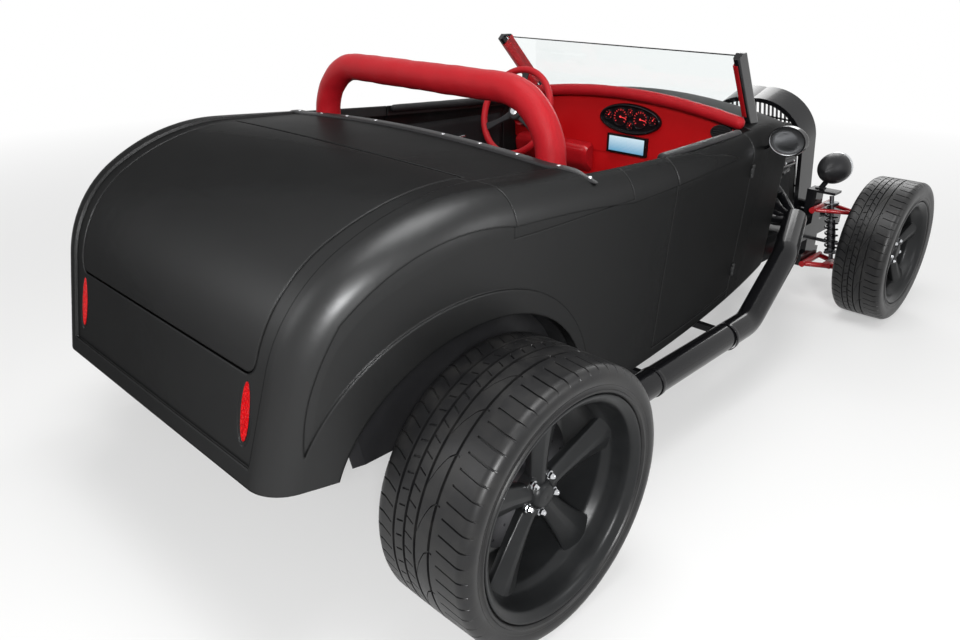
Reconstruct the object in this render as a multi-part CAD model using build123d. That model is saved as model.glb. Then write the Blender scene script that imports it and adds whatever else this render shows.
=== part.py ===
"""Street rod roadster: smooth highboy body on a boxed frame with four independent wheels.

The car faces -Y, its left side is +X and +Z is up. Lengths are millimetres. Everything is laid
out from the rear axle line (y = 0, ground at z = 0), and the export moves the finished pieces so
that the origin lies on the ground under the middle of the car.
"""
import math
import os
from functools import cache

from build123d import *

# Driving sizes of the whole car
WHEELBASE = 2692.0          # rear axle to front axle
TAIL_END = 574.0            # rear axle to the lower edge of the tail
FRAME_NOSE = 3040.0         # rear axle to the tips of the front frame horns

# Body shell, measured from the rear axle
BODY_FRONT = 1930.0         # firewall face, ahead of the rear axle
HALF_WIDTH = 730.0          # widest half width of the body, at the belt
WIDEST_Y = -180.0           # where the body is widest
PLAN_R_FRONT = 8277.0       # plan curve from the widest point forward
PLAN_R_REAR = 2300.0        # plan curve from the widest point to the tail
SIDE_DRAFT = 3.3            # degrees that the sides lean in towards the sill
DRAFT_TOP_Z = 1150.0        # height at which the half width holds
SKIN = 28.0                 # thickness of the body walls, lid and doors
SHOULDER_R = 90.0           # rounded shoulder between deck and side
COWL_FRONT_Y, COWL_FRONT_Z = -1990.0, 1040.0    # cowl height ahead of the firewall
COWL_GLASS_Y, COWL_GLASS_Z = -1520.0, 1108.0    # cowl height at the windshield
COWL_CROWN = 112.0          # how much lower the cowl is CROWN_X out from the middle
DECK_CROWN = 12.0           # the same on the deck and the tail
CROWN_X = 650.0
RIM_Y = -365.0              # rear edge of the cockpit
DECK_Z = 1102.0             # highest point of the deck
DECK_Y = -50.0
RUMP_Y, RUMP_Z = 332.0, 1012.0        # where the deck turns down
TAIL_Y, TAIL_Z = 518.0, 770.0         # where the tail gets straight
TAIL_BOTTOM = 492.0
SILL_Z = 392.0              # lower edge of the body ahead of the rear wheels

# Shut lines
SEAM_Y = -45.0              # rear edge of the top panel, front edge of the deck lid
TOP_PANEL_FRONT = -530.0    # front edge of the top panel
BELT_SEAM_Z = 985.0         # lower edge of the top panel
LID_BOTTOM_Z = 752.0
LID_TOP_HALF = 525.0        # half width of the lid at its front edge
LID_BOTTOM_HALF = 466.0
LID_CORNER_R = 36.0
DOOR_REAR = -790.0
DOOR_FRONT = -1420.0
DOOR_BOTTOM = 432.0
SHUT_GAP = 5.0              # gap around what opens

# Raised fender band and arch lip
RELIEF = 7.0                # how far they stand proud of the side and the deck
BELT_RUN = [(-2000, 930), (-1480, 950), (-1330, 971), (-530, 975)]      # y, z along the belt
BELT_ARCS = [(-290, 1003), (-45, 1015), (222, 1000), (404, 883), (470, 745), (494, 588)]
CREASE = [(600, -1029), (558, -520), (488, 25)]     # x, level of the inner crease on the deck
CREASE_FRONT = 650.0        # the same on the cowl
LIP_Y, LIP_Z, LIP_R = 60.0, 400.0, 470.0            # outer edge of the arch lip
TAIL_LIP_Z = 542.0          # upper edge of the rolled lip along the tail
FIELD_BACK = 900.0          # how far the deck's cutter reaches forward and down

# Cockpit
RIM_WIDTH = 66.0            # from the body side to the cockpit opening
COCKPIT_FRONT = -1500.0
COCKPIT_CORNER_R = 85.0

# Wheels: lip is the rim flange radius, face its plane
WHEEL = {
    "rear": dict(y=0.0, radius=368.0, lip=297.0, seat=279.0, face=958.0, width=287.0,
                 dish=88.0, hub_r=78.0, bore_r=25.0, disc_r=180.0, disc_in=102.0, disc_x=700.0),
    "front": dict(y=-WHEELBASE, radius=333.0, lip=246.0, seat=228.0, face=858.0, width=214.0,
                  dish=52.0, hub_r=72.0, bore_r=20.0, disc_r=150.0, disc_in=86.0, disc_x=700.0),
}
SPOKES = 5
RUN_FIT = 0.05              # radial clearance of a shaft in its bore
ARCH_R = 412.0              # wheel opening radius in the body
ARCH_Y, ARCH_Z = 22.0, 384.0


def block(x, y, z):
    """Box between two bounds on each axis."""
    size = [abs(b - a) for a, b in (x, y, z)]
    centre = [(a + b) / 2 for a, b in (x, y, z)]
    return Pos(*centre) * Box(*size)


def rod(start, end, radius):
    """Round bar from one point to another."""
    a, b = Vector(*start), Vector(*end)
    plane = Plane(origin=a, z_dir=b - a)
    return Solid.extrude(Face(Wire(Edge.make_circle(radius, plane))), b - a)


def pipe(points, radius, bend):
    """Bent round bar: straight lengths joined by part-torus elbows."""
    corners = [Vector(*p) for p in points]
    made, start = None, corners[0]
    for before, corner, after in zip(corners, corners[1:], corners[2:]):
        into, out = (corner - before).normalized(), (after - corner).normalized()
        turn = math.radians(into.get_angle(out))
        cut = bend * math.tan(turn / 2)
        first, last = corner - into * cut, corner + out * cut
        axis = into.cross(out).normalized()
        centre = first + axis.cross(into) * bend
        face = Face(Wire(Edge.make_circle(radius, Plane(origin=first, z_dir=into))))
        elbow = Solid.revolve(face, math.degrees(turn), Axis(centre, axis))
        length = rod(start, first, radius)
        made = length.fuse(elbow) if made is None else made.fuse(length, elbow)
        start = last
    return made.fuse(rod(start, corners[-1], radius))


def ring_x(points, centre_y, centre_z):
    """Revolve a closed (x, radius) outline about the cross-car axis of a wheel."""
    with BuildPart() as made:
        with BuildSketch(Plane.XY):
            with BuildLine():
                Polyline(*points, close=True)
            make_face()
        revolve(axis=Axis.X)
    return Pos(0, centre_y, centre_z) * made.part


def mirrored(piece):
    """The same piece on the other side of the car."""
    return mirror(piece, Plane.YZ)


def both(piece):
    """A piece and its mirror image as one node."""
    return Compound(children=[*as_solids(piece), *as_solids(mirrored(piece))])


def as_solids(piece):
    """Plain list of the solids in a shape."""
    return [Solid(s.wrapped) for s in piece.solids()]


def half_width(y, inset=0.0):
    """Body half width at the belt."""
    radius = (PLAN_R_FRONT if y < WIDEST_Y else PLAN_R_REAR) - inset
    return HALF_WIDTH - inset - radius + math.sqrt(radius ** 2 - (y - WIDEST_Y) ** 2)


def plan_solid(inset, front=-2000.0, rear=700.0, top=DRAFT_TOP_Z, depth=800.0, draft=SIDE_DRAFT):
    """Body plan shape, extruded down with leaning sides."""
    def corner(y):
        return half_width(y, inset), y

    front_mid, rear_mid = corner((front + WIDEST_Y) / 2), corner((rear + WIDEST_Y) / 2)
    left = [(corner(front), front_mid, corner(WIDEST_Y)), (corner(WIDEST_Y), rear_mid, corner(rear))]
    with BuildSketch(Plane.XY.offset(top)) as plan:
        with BuildLine():
            for side in (1, -1):
                for arc in left:
                    ThreePointArc(*[(side * x, y) for x, y in arc])
            for y in (front, rear):
                Line((-corner(y)[0], y), (corner(y)[0], y))
        make_face()
    return extrude(plan.sketch, amount=depth, dir=(0, 0, -1), taper=draft)


def side_profile(x, inset):
    """Side view outline of the body at one distance from the middle."""
    crown = (x / CROWN_X) ** 2
    low = SILL_Z - 100
    with BuildSketch(Plane.YZ.offset(x)) as profile:
        with BuildLine():
            nose = (COWL_FRONT_Y, COWL_FRONT_Z - COWL_CROWN * crown - inset)
            glass = (COWL_GLASS_Y, COWL_GLASS_Z - COWL_CROWN * crown - inset)
            deck = (DECK_Y, DECK_Z - DECK_CROWN * crown - inset)
            sink = DECK_CROWN * crown / 2
            rump = (RUMP_Y - 0.45 * inset - sink, RUMP_Z - 0.89 * inset - sink)
            tail = (TAIL_Y - 0.98 * inset - DECK_CROWN * crown, TAIL_Z - 0.21 * inset)
            rail = Line(glass, deck)
            TangentArc(glass, nose, tangent=-(rail % 0))
            turn = TangentArc(deck, rump, tangent=rail % 1)
            fall = TangentArc(rump, tail, tangent=turn % 1)
            heading = fall % 1
            reach = (low - (fall @ 1).Y) / heading.Y
            end = (fall @ 1) + heading * reach
            Polyline(fall @ 1, end, (COWL_FRONT_Y, low), nose)
        make_face()
    return profile.sketch.face()


@cache
def body_volume(inset):
    """Closed body form: crowned side profile met by the plan shape, shoulders rounded."""
    reach = HALF_WIDTH + 30
    crowned = Solid.make_loft([side_profile(x, inset).outer_wire() for x in (-reach, 0, reach)])
    form = plan_solid(inset) & crowned
    shoulders = []
    for edge in form.edges():
        start, middle, end = edge @ 0, edge @ 0.5, edge @ 1
        on_side = min(abs(start.X), abs(end.X), abs(middle.X)) > 300
        upper = middle.Z > SILL_Z and max(start.Z, end.Z) > LID_BOTTOM_Z - SHOULDER_R
        seam = abs(start.Y - end.Y) < 0.1
        if on_side and upper and not seam:
            shoulders.append(edge)
    return fillet(shoulders, SHOULDER_R - inset)


# Body panels

def keep(piece):
    """One piece from a cut, without crumbs."""
    solids = sorted(piece.solids(), key=lambda s: s.volume)
    return Part(solids[-1].wrapped)


def round_corner(before, corner, after, radius, steps=7):
    """Points of a rounded corner, as short flats that cut cleanly through the curved skin."""
    at = Vector(*corner)
    into, out = (Vector(*before) - at).normalized(), (Vector(*after) - at).normalized()
    half = math.radians(into.get_angle(out)) / 2
    centre = at + (into + out).normalized() * (radius / math.sin(half))
    first = at + into * (radius / math.tan(half)) - centre
    turn = math.degrees(math.pi - 2 * half) * (-1 if into.cross(out).Z > 0 else 1)
    spokes = [first.rotate(Axis.Z, turn * i / steps) for i in range(steps + 1)]
    return [((centre + spoke).X, (centre + spoke).Y) for spoke in spokes]


DECK_VIEW = Plane(origin=(0, 0, 0), x_dir=(1, 0, 0), z_dir=(0, math.sqrt(0.5), math.sqrt(0.5)))


def level(y, z):
    """Height in the view square on to the deck, from behind and above at 45 degrees."""
    return (y - z) * math.sqrt(0.5)


def lid_prism(grow):
    """Cutter for the deck lid, seen square on from behind and above."""
    top = level(SEAM_Y, DECK_Z) - grow
    bottom = level(TAIL_Y + 6, LID_BOTTOM_Z) + grow
    a, b = LID_TOP_HALF + grow, LID_BOTTOM_HALF + grow
    corner = round_corner((a, top), (b, bottom), (0, bottom), LID_CORNER_R + grow)
    right = [(a, top), *corner]
    left = [(-x, y) for x, y in reversed(right)]
    with BuildSketch(DECK_VIEW) as outline:
        Polygon(*right, *left, align=None)
    return extrude(outline.sketch, amount=1600)


def deck_field():
    """Prism over the deck, the tail and the cowl, inside the raised band."""
    low = level(TAIL_END, TAIL_LIP_Z)
    front = -2400.0
    side = [(CREASE_FRONT, front), (CREASE_FRONT, -1450.0), CREASE[0]]
    with BuildSketch(DECK_VIEW.offset(-FIELD_BACK)) as outline:
        with BuildLine():
            for sign in (1, -1):
                Polyline(*[(sign * x, v) for x, v in side])
                ThreePointArc(*[(sign * x, v) for x, v in CREASE])
                Line((sign * CREASE[2][0], CREASE[2][1]), (sign * CREASE[2][0], low))
            Line((-CREASE_FRONT, front), (CREASE_FRONT, front))
            Line((-CREASE[2][0], low), (CREASE[2][0], low))
        make_face()
    return extrude(outline.sketch, amount=1600 + FIELD_BACK)


def side_field():
    """Prism across the car below the belt and clear of the arch lip."""
    low = SILL_Z - 150
    start, last = BELT_RUN[0], BELT_ARCS[-1]
    with BuildSketch(Plane.YZ.offset(-900)) as outline:
        with BuildLine():
            Polyline(*BELT_RUN)
            ThreePointArc(BELT_RUN[-1], *BELT_ARCS[:2])
            ThreePointArc(*BELT_ARCS[1:4])
            ThreePointArc(*BELT_ARCS[3:])
            Polyline(last, (last[0], low), (start[0], low), start)
        make_face()
        with Locations((LIP_Y, LIP_Z)):
            Circle(LIP_R, mode=Mode.SUBTRACT)
    return extrude(outline.sketch, amount=1800)


def outer_form():
    """Outer form of the body: the deck and the sides sunk between the raised forms."""
    form = body_volume(-RELIEF)
    for field in (deck_field(), side_field()):
        form -= field - body_volume(0)
    return form


def cockpit_cutter():
    """Everything above and inside the cockpit rim."""
    depth = RIM_Y - COCKPIT_FRONT
    slab = Pos(0, RIM_Y - depth / 2, 900) * Box(2 * HALF_WIDTH, depth, 1100)
    slab = fillet(slab.edges().filter_by(Axis.Z), COCKPIT_CORNER_R)
    return plan_solid(RIM_WIDTH, draft=0) & slab


LID_AXIS_DROP = 14.0        # lid hinge axis below and behind the front edge of the lid
HINGE_PIN_R = 3.0
PIN_FIT = 0.05
LID_BORE = 4.0              # how much deeper a lid bore is than its pin
LID_PIN_X = (508.0, 544.0)


def lid_pin(side, grow, deeper):
    """Trunnion of the deck lid, from the tub into the side of the lid."""
    y, z = SEAM_Y + LID_AXIS_DROP, DECK_Z - LID_AXIS_DROP
    x0, x1 = LID_PIN_X
    return rod((side * (x0 - deeper), y, z), (side * x1, y, z), HINGE_PIN_R + grow)


HINGE_OUT = 2.0             # door hinge axis outside the door skin
HINGE_Z = (520.0, 900.0)    # middles of the door hinges
BARREL_R = 8.0
BARREL_HALF = 10.0          # half the height of the door's barrel
EAR = 14.0                  # height of each cowl barrel
HINGE_GAP = 0.5


def hinge_frame(side):
    """Plane across the leaning hinge axis of a door, with its origin at z = 0."""
    y = DOOR_FRONT - SHUT_GAP / 2
    lean = math.tan(math.radians(SIDE_DRAFT))
    x = side * (half_width(y) - DRAFT_TOP_Z * lean + HINGE_OUT)
    return Plane(origin=(x, y, 0), x_dir=(0, 1, 0), z_dir=(side * lean, 0, 1))


def hang_door(cowl, door, side):
    """Add the hinge barrels and pins to a door and the cowl."""
    frame = hinge_frame(side)

    def length(z0, z1, radius):
        return frame * Pos(0, 0, (z0 + z1) / 2) * Cylinder(radius, z1 - z0)

    for z in HINGE_Z:
        low, high = z - BARREL_HALF, z + BARREL_HALF
        ears = [(low - HINGE_GAP - EAR, low - HINGE_GAP), (high + HINGE_GAP, high + HINGE_GAP + EAR)]
        cowl -= length(low - HINGE_GAP, high + HINGE_GAP, BARREL_R + HINGE_GAP)
        for z0, z1 in ears:
            door -= length(z0 - HINGE_GAP, z1 + HINGE_GAP, BARREL_R + HINGE_GAP)
            cowl += length(z0, z1, BARREL_R)
        cowl += length(ears[0][0], ears[1][1], HINGE_PIN_R)
        door += length(low, high, BARREL_R)
        door -= length(low - EAR, high + EAR, HINGE_PIN_R + PIN_FIT)
    return cowl, keep(door)


def body_panels():
    """Shell of the body, split at its shut lines."""
    trim = block((-900, 900), (-BODY_FRONT, 800), (SILL_Z, 1300))
    ring = lid_prism(SHUT_GAP) - lid_prism(0)
    halves = ((body_volume(0) - body_volume(SKIN)) & trim) - ring
    lid = Part(halves.solids().sort_by(SortBy.VOLUME)[-2].wrapped)
    form = outer_form() & trim
    form -= block((-900, 900), (ARCH_Y, 800), (0, TAIL_BOTTOM))
    form -= cockpit_cutter()
    form -= Pos(0, ARCH_Y, ARCH_Z) * Rot(0, 90, 0) * Cylinder(ARCH_R, 2000)
    form -= lid_prism(SHUT_GAP)
    shell = form - body_volume(SKIN)

    doors = []
    for side in (1, -1):
        zone = block((side * 300, side * 900), (DOOR_FRONT, DOOR_REAR), (DOOR_BOTTOM, 1300))
        doors.append(keep(shell & zone))
    for side in (1, -1):
        shell -= block((side * 300, side * 900), (DOOR_FRONT - SHUT_GAP, DOOR_REAR + SHUT_GAP),
                       (DOOR_BOTTOM - SHUT_GAP, 1300))
    top_zone = block((-900, 900), (TOP_PANEL_FRONT, SEAM_Y), (BELT_SEAM_Z, 1300))
    top_panel = keep(shell & top_zone)
    shell -= top_zone
    cowl_zone = block((-900, 900), (-BODY_FRONT, DOOR_FRONT), (SILL_Z, 1300))
    cowl = keep(shell & cowl_zone)
    tub = shell - cowl_zone
    for side in (1, -1):
        lid -= lid_pin(side, PIN_FIT, LID_BORE)
        tub += lid_pin(side, 0, 0)
    for i, side in enumerate((1, -1)):
        cowl, doors[i] = hang_door(cowl, doors[i], side)
    return {"body_tub": keep(tub), "cowl": keep(cowl), "top_panel": top_panel, "deck_lid": lid,
            "door_left": doors[0], "door_right": doors[1]}


# Cabin

FLOOR_T = 8.0
REAR_FLOOR_Z = 560.0        # boot floor, above the rear axle
STEP_Y = -560.0             # step from the cabin floor to the boot floor
GEARBOX_Z = 400.0           # crank and gearbox centre line
TUNNEL_R = 118.0            # inside of the tunnel over the gearbox
TUB_IN = 596.0              # inner face of the rear wheel tubs


def inside(piece, inset=SKIN):
    """The part of a piece that lies inside the body shell."""
    return keep(piece & body_volume(inset))


def floor_pan():
    """Cabin floor, step, boot floor and firewall, welded into one."""
    front = block((-900, 900), (-BODY_FRONT, STEP_Y), (SILL_Z, SILL_Z + FLOOR_T))
    step = block((-900, 900), (STEP_Y, STEP_Y + FLOOR_T), (SILL_Z, REAR_FLOOR_Z))
    boot = block((-TUB_IN, TUB_IN), (STEP_Y, 700), (REAR_FLOOR_Z - FLOOR_T, REAR_FLOOR_Z))
    firewall = block((-900, 900), (-BODY_FRONT, -BODY_FRONT + FLOOR_T), (SILL_Z, 1300))
    pan = front + firewall + step + boot
    tunnel_y = (-BODY_FRONT + STEP_Y) / 2
    length = BODY_FRONT + STEP_Y + 2 * FLOOR_T
    bore = Pos(0, tunnel_y, GEARBOX_Z) * Rot(90, 0, 0) * Cylinder(TUNNEL_R, length)
    cover = Pos(0, tunnel_y, GEARBOX_Z) * Rot(90, 0, 0) * Cylinder(TUNNEL_R + FLOOR_T, length)
    cover &= block((-300, 300), (-BODY_FRONT, STEP_Y + FLOOR_T), (SILL_Z, 1300))
    return inside(pan + cover - bore)


def wheel_tubs():
    """Inner arches between the body sides and the boot."""
    t = FLOOR_T
    arch = Pos(0, ARCH_Y, ARCH_Z) * Rot(0, 90, 0) * Cylinder(ARCH_R + t, 2000)
    hollow = Pos(0, ARCH_Y, ARCH_Z) * Rot(0, 90, 0) * Cylinder(ARCH_R, 2000)
    zone = block((TUB_IN, 900), (STEP_Y + FLOOR_T, 700), (TAIL_BOTTOM, 1300))
    shell = (arch - hollow) & zone
    wall = arch & block((TUB_IN, TUB_IN + t), (STEP_Y + FLOOR_T, 700), (TAIL_BOTTOM, 1300))
    left = inside(shell + wall)
    return both(left)


DASH_REAR = COCKPIT_FRONT + 4
DASH_T = 40.0
DASH_BOTTOM = 850.0


def dash():
    """Full width dash panel under the cowl, with a padded roll along its top."""
    panel = block((-900, 900), (DASH_REAR - DASH_T, DASH_REAR), (DASH_BOTTOM, 1300))
    return inside(panel) - column_tube()


DASH_PAD_R = 23.5
DASH_PAD_HALF = 523.0       # half length of the padded roll, without its round ends
DASH_PAD_Z, DASH_PAD_DROP = 1101.0, 54.0    # height in the middle, and how much its ends are lower
PAD_GAP = 0.3


def dash_pad():
    """Padded roll against the rear edge of the cowl, bowed like the cowl."""
    arc_r = (DASH_PAD_HALF ** 2 + DASH_PAD_DROP ** 2) / (2 * DASH_PAD_DROP)
    y = COCKPIT_FRONT + PAD_GAP + DASH_PAD_R
    centre = Vector(0, y, DASH_PAD_Z - arc_r)
    end = Vector(DASH_PAD_HALF, y, DASH_PAD_Z - DASH_PAD_DROP)
    along = (end - centre).normalized().cross(Vector(0, 1, 0))
    face = Face(Wire(Edge.make_circle(DASH_PAD_R, Plane(origin=end, z_dir=along))))
    turn = 2 * math.degrees(math.asin(DASH_PAD_HALF / arc_r))
    roll = Part(Solid.revolve(face, turn, Axis(centre, Vector(0, -1, 0))).wrapped)
    for side in (1, -1):
        roll += Pos(side * end.X, y, end.Z) * Sphere(DASH_PAD_R)
    return keep(roll)


CLUSTER_X, CLUSTER_Z = -45.0, 1000.0
CLUSTER_HALF, CLUSTER_HIGH = 142.0, 57.0
SCREEN_X, SCREEN_Z = -42.0, 896.0
SCREEN_SIZE = (190.0, 76.0)


def instruments():
    """Oval gauge cluster and a flat screen, both seated on the dash."""
    plane = Plane(origin=(CLUSTER_X, DASH_REAR, CLUSTER_Z), x_dir=(1, 0, 0), z_dir=(0, 1, 0))
    with BuildSketch(plane) as oval:
        Ellipse(CLUSTER_HALF, CLUSTER_HIGH)
    cluster = extrude(oval.sketch, amount=14)
    with BuildSketch(plane.offset(6)) as glass:
        Ellipse(CLUSTER_HALF - 8, CLUSTER_HIGH - 8)
    cluster -= extrude(glass.sketch, amount=20)
    w, h = SCREEN_SIZE
    screen = block((SCREEN_X - w / 2, SCREEN_X + w / 2), (DASH_REAR, DASH_REAR + 16),
                   (SCREEN_Z - h / 2, SCREEN_Z + h / 2))
    return Compound(children=[*as_solids(cluster), *as_solids(screen)])


WHEEL_HUB = (330.0, -1215.0, 1015.0)    # centre of the steering wheel
COLUMN_TILT = 20.0
STEERING_R = 172.0
STEERING_GRIP = 14.0
COLUMN_R, COLUMN_GAP = 26.0, 28.0
POD_R, POD_LENGTH, POD_BACK = 44.0, 150.0, 112.0
SHAFT_R, SHAFT_END = 12.0, 90.0


def column_frame():
    """Plane across the steering column at the wheel hub, facing the driver."""
    tilt = math.radians(COLUMN_TILT)
    return Plane(origin=WHEEL_HUB, x_dir=(1, 0, 0), z_dir=(0, math.cos(tilt), math.sin(tilt)))


def column_tube():
    """Steering column tube from behind the wheel to the firewall."""
    tilt = math.radians(COLUMN_TILT)
    run = BODY_FRONT - FLOOR_T + WHEEL_HUB[1] - COLUMN_R * math.sin(tilt)
    length = run / math.cos(tilt)
    middle = (length + COLUMN_GAP) / 2
    return column_frame().offset(-middle) * Cylinder(COLUMN_R, length - COLUMN_GAP)


def wheel_shaft(grow, end):
    """Shaft of the steering wheel, down into the column."""
    return column_frame().offset(-end / 2) * Cylinder(SHAFT_R + grow, end)


def steering_column():
    """Column tube with the binnacle around its upper end and a bore for the wheel shaft."""
    pod = column_frame().offset(-POD_BACK) * Cylinder(POD_R, POD_LENGTH)
    return column_tube() + pod - wheel_shaft(RUN_FIT, SHAFT_END + 4)


def steering_wheel():
    """Three-spoke wheel on a short hub."""
    frame = column_frame()
    grip = frame * Torus(STEERING_R, STEERING_GRIP)
    hub = frame.offset(-4) * Cylinder(34, 36)
    spokes = []
    for angle in (90, 210, 330):
        arm = frame * Rot(0, 0, angle) * Pos(STEERING_R / 2, 0, -2) * Box(STEERING_R, 26, 6)
        spokes.append(arm)
    made = grip + hub
    for arm in spokes:
        made += arm
    return keep(made + wheel_shaft(0, SHAFT_END))


SEAT_HALF = 490.0
SEAT_Z = SILL_Z + FLOOR_T
SEAT_BACK_Y = -690.0
TUNNEL_TOP = 134.0          # tunnel crown above the floor


def seat():
    """Bench cushion."""
    cushion = block((-SEAT_HALF, SEAT_HALF), (-1130, SEAT_BACK_Y), (SEAT_Z + TUNNEL_TOP, SEAT_Z + 240))
    riser = block((-SEAT_HALF, SEAT_HALF), (-1080, SEAT_BACK_Y - 40), (SEAT_Z, SEAT_Z + 240))
    hump = Pos(0, -900, GEARBOX_Z) * Rot(90, 0, 0) * Cylinder(TUNNEL_R + FLOOR_T, 1200)
    return fillet(cushion.edges().filter_by(Axis.X), 30) + (riser - hump)


def seat_back():
    """Bench backrest, leaning against the bulkhead."""
    z0, z1 = SEAT_Z + TUNNEL_TOP, 985.0
    rear = STEP_Y
    with BuildSketch(Plane.YZ.offset(-SEAT_HALF)) as side:
        with BuildLine():
            Polyline((SEAT_BACK_Y, z0), (rear, z0), (rear, z1), (rear - 70, z1), close=True)
        make_face()
    back = extrude(side.sketch, amount=2 * SEAT_HALF)
    return back


CARD_GAP, CARD_T = 0.4, 14.0


def door_card():
    """Padded inner panel of the left door."""
    card = plan_solid(SKIN + CARD_GAP) - plan_solid(SKIN + CARD_T)
    card &= body_volume(SKIN + CARD_GAP)
    zone = block((300, 900), (DOOR_FRONT + 12, DOOR_REAR - 12), (DOOR_BOTTOM + 12, 960))
    return Compound(children=as_solids(card & zone) + as_solids(door_pad()))


DOOR_PAD_R = 16.0
DOOR_PAD_GAP = 0.8
DOOR_PAD_RISE = 4.0         # centre of the door pad below the top edge of the door


def rim_height(y, inset=RIM_WIDTH):
    """Height of the body at the edge of the cockpit."""
    share = (y - COWL_GLASS_Y) / (DECK_Y - COWL_GLASS_Y)
    crown = COWL_CROWN + share * (DECK_CROWN - COWL_CROWN)
    top = COWL_GLASS_Z + share * (DECK_Z - COWL_GLASS_Z)
    return top - crown * ((half_width(y) - inset) / CROWN_X) ** 2


def door_pad():
    """Round pad along the inner top edge of the left door."""
    ends = []
    for y in (DOOR_FRONT + DOOR_PAD_R + 4, DOOR_REAR - DOOR_PAD_R - 4):
        x = half_width(y) - RIM_WIDTH - DOOR_PAD_GAP - DOOR_PAD_R
        ends.append((x, y, rim_height(y) - DOOR_PAD_RISE))
    pad = Part(rod(*ends, DOOR_PAD_R).wrapped)
    for end in ends:
        pad += Pos(*end) * Sphere(DOOR_PAD_R)
    return pad


BAR_R = 44.0
BAR_Y = -415.0
BAR_TOP = 1252.0
BAR_FOOT_X, BAR_CORNER_X = 515.0, 495.0
BAR_BEND = 185.0


def roll_bar():
    """Padded hoop behind the seat, standing on the boot floor."""
    half = [(BAR_FOOT_X, REAR_FLOOR_Z), (BAR_FOOT_X + 6, 1000), (BAR_CORNER_X, BAR_TOP)]
    left = [(x, BAR_Y, z) for x, z in half]
    right = [(-x, BAR_Y, z) for x, z in reversed(half)]
    hoop = Part(pipe(left + right, BAR_R, BAR_BEND).wrapped)
    return hoop - block((-900, 900), (-900, 0), (0, REAR_FLOOR_Z))


POST_BASE = (505.0, -1630.0, 1000.0)
POST_TOP = (545.0, -1362.0, 1298.0)
POST_DEPTH, POST_T = 62.0, 24.0
GLASS_T = 6.0
GLASS_GAP = 2.0             # from the pane to the posts


def post_plane():
    base, top = Vector(*POST_BASE), Vector(*POST_TOP)
    return Plane(origin=base, x_dir=(1, 0, 0), z_dir=top - base), (top - base).length


def windshield_posts():
    """Two raked posts rising from the cowl corners."""
    plane, length = post_plane()
    with BuildSketch(plane.offset(-30)) as section:
        RectangleRounded(POST_T, POST_DEPTH, 9)
    post = extrude(section.sketch, amount=length + 30)
    post -= block((0, 900), (-3000, 0), (POST_TOP[2], 1600))
    post -= body_volume(0)
    return both(keep(post))


def windshield_glass():
    """Flat pane between the posts."""
    rake = math.atan2(POST_TOP[1] - POST_BASE[1], POST_TOP[2] - POST_BASE[2])
    plane = Plane(origin=(0, POST_BASE[1], POST_BASE[2]), x_dir=(1, 0, 0),
                  z_dir=(0, -math.cos(rake), math.sin(rake)))
    run = math.hypot(POST_TOP[1] - POST_BASE[1], POST_TOP[2] - POST_BASE[2])
    splay = POST_TOP[0] - POST_BASE[0]
    edge = POST_T / 2 + GLASS_GAP
    with BuildSketch(plane) as pane:
        with BuildLine():
            a = POST_BASE[0] - edge
            b = POST_TOP[0] - edge
            Polyline((-a, 0), (a, 0), (b, run - 12), (-b, run - 12), close=True)
        make_face()
    glass = extrude(pane.sketch, amount=GLASS_T / 2, both=True)
    return keep(glass - body_volume(0))


# Frame and running gear

RAIL_X, RAIL_W, RAIL_H = 380.0, 50.0, 80.0
RAIL_OUT = RAIL_X + RAIL_W / 2
RAIL_IN = RAIL_X - RAIL_W / 2
RAIL_Z = SILL_Z - RAIL_H / 2
REAR_RAIL_Z = REAR_FLOOR_Z - FLOOR_T - RAIL_H / 2
KICK = (-500.0, -170.0)     # where the rails rise over the rear axle
AXLE_Z = WHEEL["rear"]["radius"]
FRONT_Z = WHEEL["front"]["radius"]
AXLE_Y = -WHEELBASE         # front axle line
CROSS_HALF = 60.0           # half width of the front crossmember along the car
TOWER_TOP = 560.0
KINGPIN_X = 600.0
PIVOT_R = 15.0              # inner pivot tube of the front arms
PIVOT_X = RAIL_OUT + PIVOT_R
BALL_Z = 140.0              # kingpin eyes above and below the front axle
EYE_R, EYE_H = 26.0, 26.0
PIN_R = 9.0


def rail():
    """Left boxed rail, rising over the rear axle."""
    points = [(RAIL_X, -FRAME_NOSE, RAIL_Z), (RAIL_X, KICK[0], RAIL_Z),
              (RAIL_X, KICK[1], REAR_RAIL_Z), (RAIL_X, TAIL_END - 120, REAR_RAIL_Z)]
    with BuildPart() as made:
        with BuildLine() as path:
            FilletPolyline(*points, radius=180)
        with BuildSketch(Plane(origin=path.line @ 0, x_dir=(1, 0, 0), z_dir=path.line % 0)):
            Rectangle(RAIL_W, RAIL_H)
        sweep()
    return made.part


COIL_FOOT_X, COIL_TOP_X = 520.0, 462.0
TOWER_T = 12.0              # plate on top of each front tower
LINK_X, LINK_Y = 320.0, -500.0          # front ends of the rear axle links
REAR_CROSS_Y = (-150.0, 410.0)
GEARBOX_R = 90.0
MOUNT_Y = -1500.0           # gearbox mount
SHAFT_CROSS_Y = -840.0
TOW_R, TOW_T, TOW_BORE_R = 24.0, 12.0, 10.0
NOSE_Y = -2970.0            # front cross tube
NOSE_TOW_Y = -3012.0        # front tow eye, an upright bore in a tongue on the tube
REAR_TOW = (418.0, 455.0)   # y, z of the rear tow eye, a crosswise bore in a lug


def frame_rails():
    """Two boxed rails with the front suspension towers and the link brackets."""
    left = rail()
    left += block((RAIL_IN, RAIL_OUT), (AXLE_Y - 45, AXLE_Y + 45), (RAIL_Z, TOWER_TOP))
    left += block((RAIL_IN, COIL_TOP_X + 30), (AXLE_Y - 40, AXLE_Y + 40),
                  (TOWER_TOP - TOWER_T, TOWER_TOP))
    left += block((LINK_X - 14, RAIL_IN), (LINK_Y - 26, LINK_Y), (RAIL_Z - 44, RAIL_Z + 20))
    return both(keep(left))


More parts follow.
